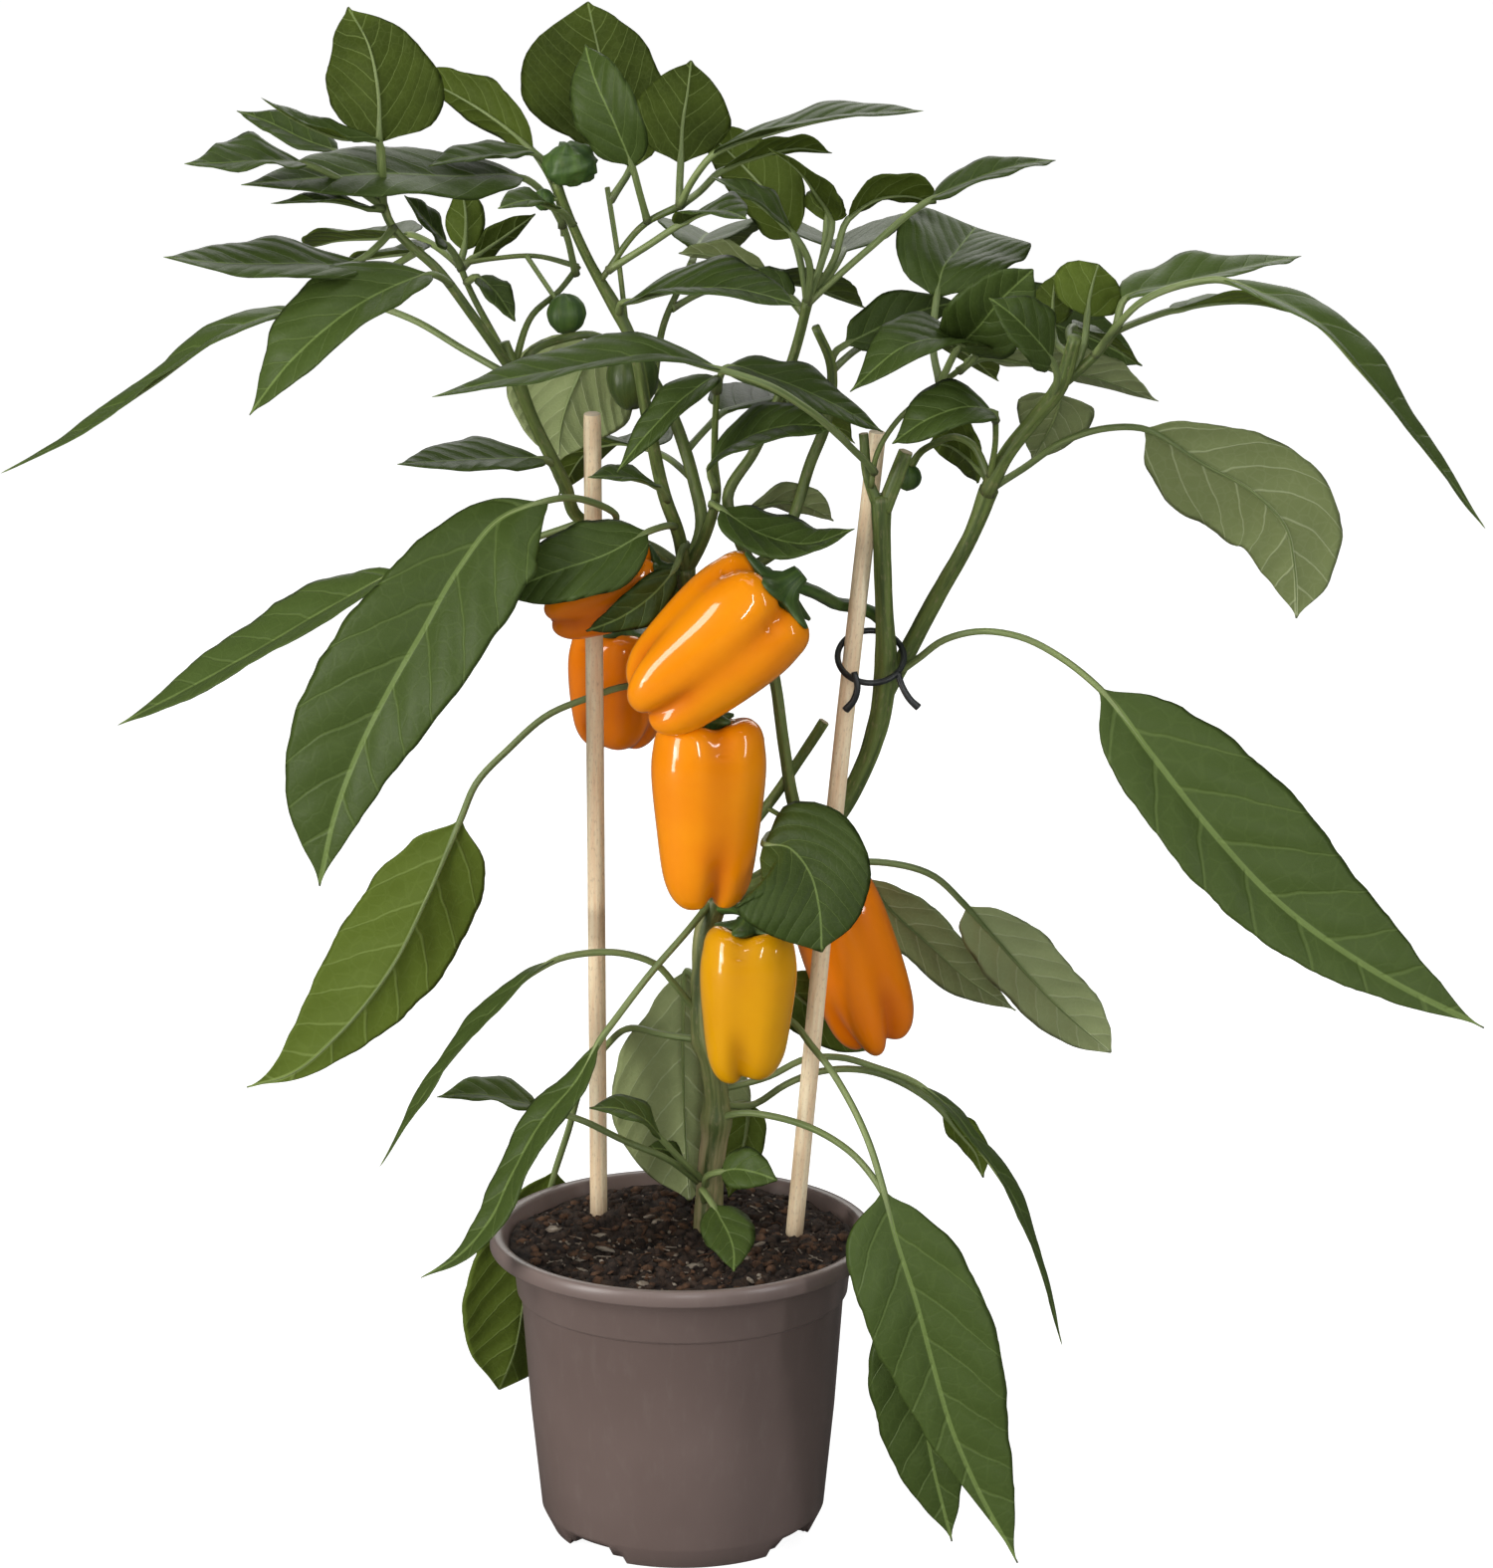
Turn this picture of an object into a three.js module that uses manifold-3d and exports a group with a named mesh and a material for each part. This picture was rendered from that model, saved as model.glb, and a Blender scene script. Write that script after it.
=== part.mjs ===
// A bell pepper plant in its nursery pot, with two canes, a stem clip and six ripe fruits.
// Millimetres, +Z up, origin under the middle of the pot, the plant seen from -Y.

import * as THREE from "three";
import { mergeVertices } from "three/addons/utils/BufferGeometryUtils.js";
import Module from "manifold-3d";

const wasm = await Module();
wasm.setup();

// ---------------------------------------------------------------- driving sizes

const gap = 0.3;                  // air between pieces that touch
const potHeight = 121;
const rimRadius = 75;
const rimInside = 70;
const lipHeight = 6.5;
const bandFoot = 97;              // height where the band under the lip ends
const wall = 1.6;
const potSides = 24;
const drainCircle = 31;
const drainRadius = 4;
const drainCount = 8;
const soilTop = 117.2;
const soilRelief = 1.8;
const caneRadius = 3.4;
const bladeThickness = 0.8;
const stalkRadius = 1.2;
const smallBlade = 10;            // half width up to which a crown's blade gets fewer steps
const slimTwig = 1.6;             // radius up to which a crown's twig gets fewer sides
const crownFoot = 390;            // heights between which the crown opens out in depth
const crownTop = 480;
const crownSpread = 2;            // how many times deeper than its layout it ends up

// ---------------------------------------------------------------- laying out

// Every point of the plant is [across, height, forward]: a place on the front elevation through
// the pot's axis, drawn forward along the sight line of someone standing at `eye`.
const eye = { across: 25, away: 2600, height: 1016.3 };

function at([across, height, forward = 0]) {
  const share = forward / eye.away;
  return new THREE.Vector3(
    across + (eye.across - across) * share,
    -forward,
    height + (eye.height - height) * share,
  );
}

// A crown's points with their forwards opened out as it rises
function opened(points) {
  return points.map(([across, height, forward]) => {
    const rise = THREE.MathUtils.smoothstep(height, crownFoot, crownTop);
    return [across, height, forward * THREE.MathUtils.lerp(1, crownSpread, rise)];
  });
}

// A smooth line through points, sampled by length. `marks` are the lengths of its own points.
class Route {
  constructor(points) {
    this.points = points;
    this.slopes = points.map((point, i) => {
      const before = points[Math.max(i - 1, 0)];
      const after = points[Math.min(i + 1, points.length - 1)];
      const back = Math.max(point.distanceTo(before), 1e-6);
      const ahead = Math.max(after.distanceTo(point), 1e-6);
      if (i === 0) return after.clone().sub(point).divideScalar(ahead);
      if (i === points.length - 1) return point.clone().sub(before).divideScalar(back);
      const arriving = point.clone().sub(before).multiplyScalar(ahead / back);
      const leaving = after.clone().sub(point).multiplyScalar(back / ahead);
      return arriving.add(leaving).divideScalar(back + ahead);
    });
    this.marks = [0];
    for (let i = 1; i < points.length; i++) {
      this.marks.push(this.marks[i - 1] + points[i].distanceTo(points[i - 1]));
    }
    this.length = this.marks.at(-1);
  }

  at(distance) {
    let i = 0;
    while (i < this.marks.length - 2 && distance > this.marks[i + 1]) i++;
    const span = this.marks[i + 1] - this.marks[i];
    const t = (distance - this.marks[i]) / span;
    const point = this.points[i].clone().multiplyScalar(2 * t ** 3 - 3 * t ** 2 + 1);
    point.addScaledVector(this.slopes[i], span * (t ** 3 - 2 * t ** 2 + t));
    point.addScaledVector(this.points[i + 1], 3 * t ** 2 - 2 * t ** 3);
    return point.addScaledVector(this.slopes[i + 1], span * (t ** 3 - t ** 2));
  }

  along(distance) {
    const step = this.length / 400;
    const low = this.at(Math.max(distance - step, 0));
    const high = this.at(Math.min(distance + step, this.length));
    return high.sub(low).normalize();
  }
}

// `near` kept square to each direction in turn, with no sudden turn between neighbours
function carried(near, directions, start) {
  const square = (vector, i) => vector.clone().addScaledVector(directions[i],
    -vector.dot(directions[i])).normalize();
  const out = [];
  out[start] = square(near, start);
  for (let i = start + 1; i < directions.length; i++) out[i] = square(out[i - 1], i);
  for (let i = start - 1; i >= 0; i--) out[i] = square(out[i + 1], i);
  return out;
}

// ---------------------------------------------------------------- solids

function meshSolid(corners, faces) {
  const build = (triangles) => new wasm.Manifold(new wasm.Mesh({
    numProp: 3,
    vertProperties: new Float32Array(corners),
    triVerts: new Uint32Array(triangles),
  }));
  const solid = build(faces);
  return solid.volume() > 0 ? solid : build([...faces].reverse());
}

function solidOf(geometry) {
  geometry.deleteAttribute("normal");
  geometry.deleteAttribute("uv");
  const merged = mergeVertices(geometry, 1e-4);
  return meshSolid(merged.attributes.position.array, merged.index.array);
}

// A closed skin over rings of points. `leaning` tells, side by side, which way a quad is halved.
function loft(rings, leaning = []) {
  const sides = rings[0].length;
  const corners = [];
  const faces = [];
  for (const ring of rings) for (const point of ring) corners.push(point.x, point.y, point.z);
  for (let k = 0; k + 1 < rings.length; k++) {
    for (let j = 0; j < sides; j++) {
      const a = k * sides + j;
      const b = k * sides + (j + 1) % sides;
      const c = a + sides;
      const d = b + sides;
      if (leaning[j]) faces.push(a, b, c, b, d, c);
      else faces.push(a, b, d, a, d, c);
    }
  }
  const last = (rings.length - 1) * sides;
  for (let j = 1; j + 1 < sides; j++) {
    faces.push(0, j + 1, j);
    faces.push(last, last + j, last + j + 1);
  }
  return meshSolid(corners, faces);
}

// A tapering round stem through `route`, with a radius at each of its points
function rod(route, radii, sides = 6, extra = 0) {
  const path = new Route(route.map(at));
  const steps = [];
  for (let i = 0; i + 1 < route.length; i++) {
    const span = path.marks[i + 1] - path.marks[i];
    const pieces = Math.max(1, Math.round(span / 40));
    for (let k = 0; k < pieces; k++) steps.push([path.marks[i] + span * k / pieces, i + k / pieces]);
  }
  steps.push([path.length, route.length - 1]);
  const directions = steps.map(([distance]) => path.along(distance));
  const ups = carried(new THREE.Vector3(0, -1, 0.01), directions, 0);
  const rings = steps.map(([distance, place], k) => {
    const low = radii[Math.floor(place)] ?? radii.at(-1);
    const high = radii[Math.ceil(place)] ?? radii.at(-1);
    const radius = low + (high - low) * (place % 1) + extra;
    const centre = path.at(distance);
    const side = new THREE.Vector3().crossVectors(ups[k], directions[k]);
    return Array.from({ length: sides }, (_, j) => {
      const angle = -2 * Math.PI * j / sides;
      return centre.clone()
        .addScaledVector(side, radius * Math.cos(angle))
        .addScaledVector(ups[k], radius * Math.sin(angle));
    });
  });
  if (extra) {
    const reach = (ring, direction) => ring.forEach((point) => point.addScaledVector(direction, extra));
    reach(rings[0], directions[0].clone().negate());
    reach(rings.at(-1), directions.at(-1));
  }
  return loft(rings);
}

// A leaf: a thin stalk that opens into a blade. `face` is the way the upper side looks at the
// middle, `half` the blade's half widths left and right of someone walking from root to tip.
function leaf({ stalk, rib, half, face, fold = 16, wave = 1.5, steps = 5, shape = [0.75, 1.05] }) {
  const halves = Array.isArray(half) ? half : [half, half];
  const outlines = Array.isArray(shape[0]) ? shape : [shape, shape];
  const path = new Route([...stalk, ...rib].map(at));
  const root = path.marks[stalk.length - 1];
  const blade = path.length - root;
  const places = [];
  const stalkSteps = Math.max(Math.ceil((stalk.length - 1) * 0.6), 1);
  for (let k = 0; k < stalkSteps; k++) places.push({ distance: root * k / stalkSteps });
  for (let k = 0; k <= steps; k++) {
    places.push({ distance: root + blade * (k / steps) ** 1.2 });
  }
  const directions = places.map((place) => path.along(place.distance));
  const middle = stalkSteps + Math.round(steps * 0.45);
  const ups = carried(new THREE.Vector3(...face).normalize(), directions, middle);
  const rings = places.map(({ distance }, k) => {
    const share = Math.max(0, (distance - root) / blade);
    const opening = outlines.map((outline) => bladeOutline(share, outline));
    const widest = Math.max(...opening);
    const centre = path.at(distance);
    const up = ups[k];
    const side = new THREE.Vector3().crossVectors(up, directions[k]);
    const radius = stalkRadius;
    const bend = THREE.MathUtils.degToRad(fold);
    const thickness = THREE.MathUtils.lerp(radius, bladeThickness / 2, Math.min(1, widest * 3));
    const edge = (which, sign) => {
      const open = opening[which];
      const reach = Math.max(halves[which] * open, k > stalkSteps ? 0.7 : radius * 0.87);
      const ripple = wave * open * Math.sin(2 * Math.PI * (share * 2.6 + which * 0.37));
      const point = centre.clone().addScaledVector(side, sign * reach * Math.cos(bend * open));
      return point.addScaledVector(up, reach * Math.sin(bend * open) + ripple);
    };
    const left = edge(0, 1);
    const right = edge(1, -1);
    const ribHigh = share > 0 ? THREE.MathUtils.lerp(radius, 0.5, share) : radius;
    const half = share > 0 ? thickness : radius / 2;
    return [
      left.clone().addScaledVector(up, half),
      centre.clone().addScaledVector(up, share > 0 ? Math.max(half, ribHigh * 0.6) : radius),
      right.clone().addScaledVector(up, half),
      right.clone().addScaledVector(up, -half),
      centre.clone().addScaledVector(up, -Math.max(ribHigh, half)),
      left.clone().addScaledVector(up, -half),
    ];
  });
  return loft(rings, [false, true, false, false, true, false]);
}

// Share of the full half width along a blade: round near the root, drawn out towards the tip
function bladeOutline(share, [rise, fall]) {
  if (share <= 0 || share >= 1) return 0;
  const peak = rise / (rise + fall);
  return (share / peak) ** rise * ((1 - share) / (1 - peak)) ** fall;
}

// The largest single body of a solid, which drops crumbs that a cut has left behind
function wholePiece(solid) {
  const bodies = solid.decompose();
  return bodies.reduce((best, body) => (body.volume() > best.volume() ? body : best));
}

function joined(solids) {
  return solids.reduce((sum, solid) => sum.add(solid));
}

function cleared(solid, obstacles) {
  return wholePiece(obstacles.reduce((rest, obstacle) => rest.subtract(obstacle), solid));
}

function cylinderSolid(radius, low, high, x, y, sides) {
  const geometry = new THREE.CylinderGeometry(radius, radius, high - low, sides);
  geometry.rotateX(Math.PI / 2);
  geometry.translate(x, y, (low + high) / 2);
  return solidOf(geometry);
}

// ---------------------------------------------------------------- materials

const finish = (color, roughness) => ({ color, roughness, metalness: 0 });
const finishes = {
  pot: finish(0x6e625c, 0.55),
  soil: finish(0x2a1d16, 1),
  cane: finish(0xd8c09a, 0.7),
  clip: finish(0x232628, 0.5),
  stem: finish(0x4f6b32, 0.6),
  leaf: finish(0x3a5a26, 0.45),
  paleLeaf: finish(0x6d8050, 0.6),
  fruit: finish(0xf39a0b, 0.2),
  calyx: finish(0x2f5a1c, 0.5),
};

const plant = new THREE.Group();
const finest = 0.15;               // shape left out of the small joins

function addPiece(name, solid, kind) {
  const { vertProperties, triVerts, numProp } = solid.simplify(finest).getMesh();
  const geometry = new THREE.BufferGeometry();
  const corners = [];
  for (let i = 0; i < vertProperties.length; i += numProp) {
    corners.push(vertProperties[i], vertProperties[i + 1], vertProperties[i + 2]);
  }
  geometry.setAttribute("position", new THREE.Float32BufferAttribute(corners, 3));
  geometry.setIndex(Array.from(triVerts));
  geometry.computeVertexNormals();
  const mesh = new THREE.Mesh(geometry, new THREE.MeshStandardMaterial(finishes[kind]));
  mesh.name = name;
  plant.add(mesh);
}

// ---------------------------------------------------------------- pot

function turned(profile, sides) {
  const geometry = new THREE.LatheGeometry(profile.map(([radius, height]) => new THREE.Vector2(radius,
    height)), sides);
  geometry.rotateX(Math.PI / 2);
  return solidOf(geometry);
}

const footRaise = 2.5;
const floorTop = 5;

function makePot() {
  let pot = turned([
    [0, 0], [17, 0], [19, footRaise], [43.5, footRaise], [45, 0],
    [51, 0], [55.5, 9],
    [63, bandFoot - 1], [64.2, bandFoot],
    [66.3, potHeight - lipHeight], [rimRadius - 0.8, potHeight - lipHeight],
    [rimRadius, potHeight - lipHeight + 1.2], [rimRadius - 1.2, potHeight],
    [rimInside + 0.6, potHeight], [66.2, 112], [62.2, bandFoot - 1],
    [54.8, 14], [51.5, floorTop], [0, floorTop],
  ], potSides);
  for (let k = 0; k < drainCount; k++) {
    const angle = 2 * Math.PI * (k + 0.5) / drainCount;
    const hole = cylinderSolid(drainRadius, 0, floorTop + 2, drainCircle * Math.cos(angle),
      drainCircle * Math.sin(angle), 8);
    pot = pot.subtract(hole);
  }
  const notchAngles = [-133, -33, 47, 137];
  for (const degrees of notchAngles) {
    for (const [width, height] of [[20, 5.5], [30, 2.6]]) {
      const box = new THREE.BoxGeometry(20, width, 2 * height);
      box.translate(54, 0, 0);
      box.rotateZ(THREE.MathUtils.degToRad(degrees));
      pot = pot.subtract(solidOf(box));
    }
  }
  return pot;
}

// ---------------------------------------------------------------- stems

const trunk = {
  route: [[9.5, 72, -4], [10, 118, -4], [11.5, 148, -4], [13.5, 170, -4], [12, 187, -3], [8.5, 205, -2],
    [8.5, 222, -2], [9.5, 242, -2], [13.5, 256, -2]],
  radii: [5.2, 5.6, 5.2, 4.9, 4.7, 4.9, 4.4, 4.6, 4.8],
  sides: 8,
};
const middleStem = {
  route: [[13.5, 254, -2], [14.5, 275, -5], [13, 300, -7], [9, 330, -8], [4.5, 358, -9], [2.2, 377, -9]],
  radii: [4.2, 3.9, 3.7, 3.5, 3.5, 3.8],
};
const rightStem = {
  route: [[13.5, 254, -2], [30, 262, -7], [48, 275, -11], [60, 289, -11], [70, 308, -8], [76, 328, -5],
    [78, 345, -2], [77.3, 370, 3], [76.3, 398, 7], [76, 414, 8]],
  radii: [4.2, 3.9, 3.7, 3.6, 3.6, 4, 4.4, 3.4, 3.3, 3.9],
};
const rightStub = { route: [[77, 408, 8], [81, 419, 8], [85.3, 431, 9]], radii: [3, 3.1, 2.7] };
const leftStub = { route: [[75.5, 409, 8], [71.5, 419, 9], [69.2, 438, 9]], radii: [2.4, 1.9, 1.8] };
const outerStem = {
  route: [[78, 336, -5], [86, 352, -8], [95, 370, -3], [102, 383, 3], [110, 398, 9], [117, 417, 14]],
  radii: [3.2, 3.4, 3.3, 3.1, 3, 3.6],
};
const innerStem = {
  route: [[49, 277, -11], [43.5, 292, -9], [40, 312, -7], [36.5, 338, -6], [32, 364, -6], [28, 384, -6]],
  radii: [3, 2.5, 2.3, 2.2, 2.2, 2.4],
};
const crossStub = { route: [[14, 272, -6], [24, 281, -11], [34, 293.5, -14], [45, 310, -14],
  [54.7, 325.5, -13]], radii: [2, 2, 2, 2, 2.1] };
const crossTwig = { route: [[25, 292, -12], [33, 291, -13], [41.5, 285, -12], [47, 279, -11]],
  radii: [1, 1, 1, 1] };
const mainStems = [trunk, middleStem, rightStem, rightStub, leftStub, outerStem, innerStem, crossStub,
  crossTwig];

const canes = {
  left: { route: [[-32.5, 62, -29], [-32.5, 125, -29], [-32.8, 300, -18], [-33.2, 445.5, -9]],
    radii: [caneRadius] },
  right: { route: [[38.2, 62, -8], [43.3, 116, -7], [59.9, 300, -1], [74.4, 438.5, 1]],
    radii: [caneRadius] },
};

const stemSolid = ({ route, radii, sides = 6 }, extra = 0) => rod(route, radii, sides, extra);
const mainStem = joined(mainStems.map((stem) => stemSolid(stem)));
const nearMainStem = joined(mainStems.map((stem) => stemSolid(stem, gap)));

function makeSoil() {
  const spokes = 20;
  const sunk = 0.4;
  const levels = [[51, floorTop + sunk], [54.2, 14], [61.5, bandFoot - 1], [65.7, 111.6],
    [67.3, 115.2]];
  const hummock = (x, y) => {
    const swell = Math.sin(x / 9 + 1) * Math.cos(y / 11);
    return soilTop + soilRelief * (swell + 0.5 * Math.sin(x / 4.3 - y / 5.1));
  };
  const ring = (radius, height) => Array.from({ length: spokes }, (_, j) => {
    const angle = 2 * Math.PI * j / spokes;
    const x = radius * Math.cos(angle);
    const y = radius * Math.sin(angle);
    return new THREE.Vector3(x, y, height ?? hummock(x, y));
  });
  const rings = [ring(0.5, floorTop + sunk), ...levels.map(([radius, height]) => ring(radius, height))];
  for (const radius of [64, 51, 38, 24, 10]) rings.push(ring(radius));
  return loft(rings);
}

// ---------------------------------------------------------------- fruits

// Heights (share of the length) and radii (share of the width) down a fruit, from the dip round
// its stalk over the shoulder to the dip at the blossom end
const fruitProfile = [
  [0.12, 0.02], [0.05, 0.3], [0, 0.62], [0.08, 0.88], [0.28, 1], [0.55, 0.95],
  [0.8, 0.8], [0.93, 0.6], [1, 0.36], [0.95, 0.02],
];

function fruit({ top, end, wide, deep, lobes = 4, turn = 0, taper = 0, furrow = 0.1 }, grow = 0) {
  const from = at(top);
  const to = at(end);
  const axis = to.clone().sub(from);
  const length = axis.length();
  axis.normalize();
  const out = new THREE.Vector3(0, -1, 0).addScaledVector(axis, axis.y).normalize();
  const side = new THREE.Vector3().crossVectors(axis, out);
  const spokes = lobes * 4;
  const rings = fruitProfile.map(([place, spread]) => Array.from({ length: spokes }, (_, j) => {
    const angle = 2 * Math.PI * j / spokes;
    const lobe = Math.cos(lobes * (angle + turn));
    const crease = 1 - furrow * (1 - lobe) * (0.5 + 0.6 * place);
    const narrow = 1 - taper * place;
    const reach = spread * crease * narrow;
    const drop = place * length + (place > 0.6 ? lobe * spread * furrow * length * 0.45 : 0);
    return from.clone()
      .addScaledVector(axis, drop)
      .addScaledVector(side, (wide / 2 + grow) * reach * Math.cos(angle))
      .addScaledVector(out, (deep / 2 + grow) * reach * Math.sin(angle));
  }));
  if (grow) {
    rings.forEach((ring, k) => {
      const push = k < fruitProfile.length / 2 ? -grow : grow;
      ring.forEach((point) => point.addScaledVector(axis, push));
    });
  }
  return loft(rings.map((ring) => ring.reverse()));
}

// The green cap in the dip and the stalk that carries the fruit
function cap({ top, end, wide }, stalk) {
  const from = at(top);
  const axis = at(end).sub(from);
  const length = axis.length();
  axis.normalize();
  const out = new THREE.Vector3(0, -1, 0).addScaledVector(axis, axis.y).normalize();
  const side = new THREE.Vector3().crossVectors(axis, out);
  const spokes = 10;
  const levels = [[0.04, 0.1], [-0.03, 0.25], [-0.09, 0.1]];
  const rings = levels.map(([place, spread], level) => Array.from({ length: spokes }, (_, j) => {
    const angle = 2 * Math.PI * j / spokes;
    const sepal = level === 1 ? 1 + 0.16 * Math.cos(5 * angle) : 1;
    return from.clone()
      .addScaledVector(axis, place * length)
      .addScaledVector(side, wide * spread * sepal * Math.cos(angle))
      .addScaledVector(out, wide * spread * sepal * Math.sin(angle));
  }));
  const route = [top, ...stalk];
  const radii = route.map((_, i) => (i === 0 ? 3.2 : 2.5));
  return loft(rings.map((ring) => ring.reverse())).add(rod(route, radii, 5));
}

const fruits = {
  pepper_top_left: {
    shape: { top: [-8, 383, 4], end: [-50, 368, 2], wide: 33, deep: 27, turn: 0.4, taper: 0.1 },
    stalk: [[-5, 384, 3], [-4, 379, 0], [-1, 372, -4], [3, 366, -9]],
  },
  pepper_behind_cane: {
    shape: { top: [-22, 361, -47], end: [-25, 315, -46], wide: 43, deep: 38, lobes: 3, turn: 0.5,
      taper: 0.1 },
    stalk: [[-20, 368, -43], [-10, 372, -28], [3, 366, -10]],
  },
  pepper_tilted: {
    shape: { top: [37, 376, 38], end: [-14, 331, 38], wide: 52, deep: 46, turn: 0.5, taper: 0.1 },
    stalk: [[43, 378, 35], [50, 376.5, 24], [56, 373.5, 8], [60, 371.5, -3], [66, 370.5, -10],
      [72, 368.5, -9], [77.5, 365, -1]],
  },
  pepper_middle: {
    shape: { top: [10.5, 326, 29], end: [9.5, 256, 29], wide: 46, deep: 42,
      lobes: 3, turn: -0.77, taper: 0.12, furrow: 0.09 },
    stalk: [[10.5, 331, 26], [10.5, 334, 16], [10, 330, 5], [9, 322, -8]],
  },
  pepper_low: {
    shape: { top: [27, 243, 27], end: [25, 184, 27], wide: 38, deep: 37, lobes: 3, turn: -0.22,
      taper: 0.06, furrow: 0.09 },
    stalk: [[26.5, 247, 24], [22, 251, 12], [14, 252, -2]],
  },
  pepper_right: {
    shape: { top: [54, 268, -31], end: [76, 198, -31], wide: 34, deep: 34, turn: 0.2, taper: -0.25 },
    stalk: [[52.5, 272, -29], [48, 270, -24], [42, 267, -13]],
  },
};

// ---------------------------------------------------------------- clip

// A ring round the right stem and its cane, dipping towards the front, with two grips
function makeClip() {
  const centre = at([72.3, 351, 3]);
  const ringRadius = 12.6;
  const wireRadius = 1.2;
  const dip = THREE.MathUtils.degToRad(38);
  const turns = 18;
  const sides = 5;
  const down = new THREE.Vector3(0, -Math.cos(dip), -Math.sin(dip));
  const across = new THREE.Vector3(1, 0, 0);
  const normal = new THREE.Vector3().crossVectors(across, down);
  const onRing = (angle, radius = ringRadius) => centre.clone()
    .addScaledVector(across, radius * Math.cos(angle))
    .addScaledVector(down, radius * Math.sin(angle));
  const corners = [];
  const faces = [];
  for (let k = 0; k < turns; k++) {
    for (let j = 0; j < sides; j++) {
      const angle = 2 * Math.PI * k / turns;
      const round = 2 * Math.PI * j / sides;
      const point = onRing(angle, ringRadius + wireRadius * Math.cos(round));
      point.addScaledVector(normal, wireRadius * Math.sin(round));
      corners.push(point.x, point.y, point.z);
      const a = k * sides + j;
      const b = k * sides + (j + 1) % sides;
      const c = ((k + 1) % turns) * sides + j;
      const d = ((k + 1) % turns) * sides + (j + 1) % sides;
      faces.push(a, c, b, b, c, d);
    }
  }
  const ring = meshSolid(corners, faces);
  const grips = [[[66, 345, 12], [67.3, 339, 13], [66, 334, 13], [62.8, 330, 12]],
    [[82.5, 345, 9], [84.5, 339, 11], [87.5, 334, 12], [90.6, 331, 12]]];
  return joined([ring, ...grips.map((route) => rod(route, [1.2, 1.2, 1.3, 1.4], 5))]);
}

// ---------------------------------------------------------------- leafy stems of the crown

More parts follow.
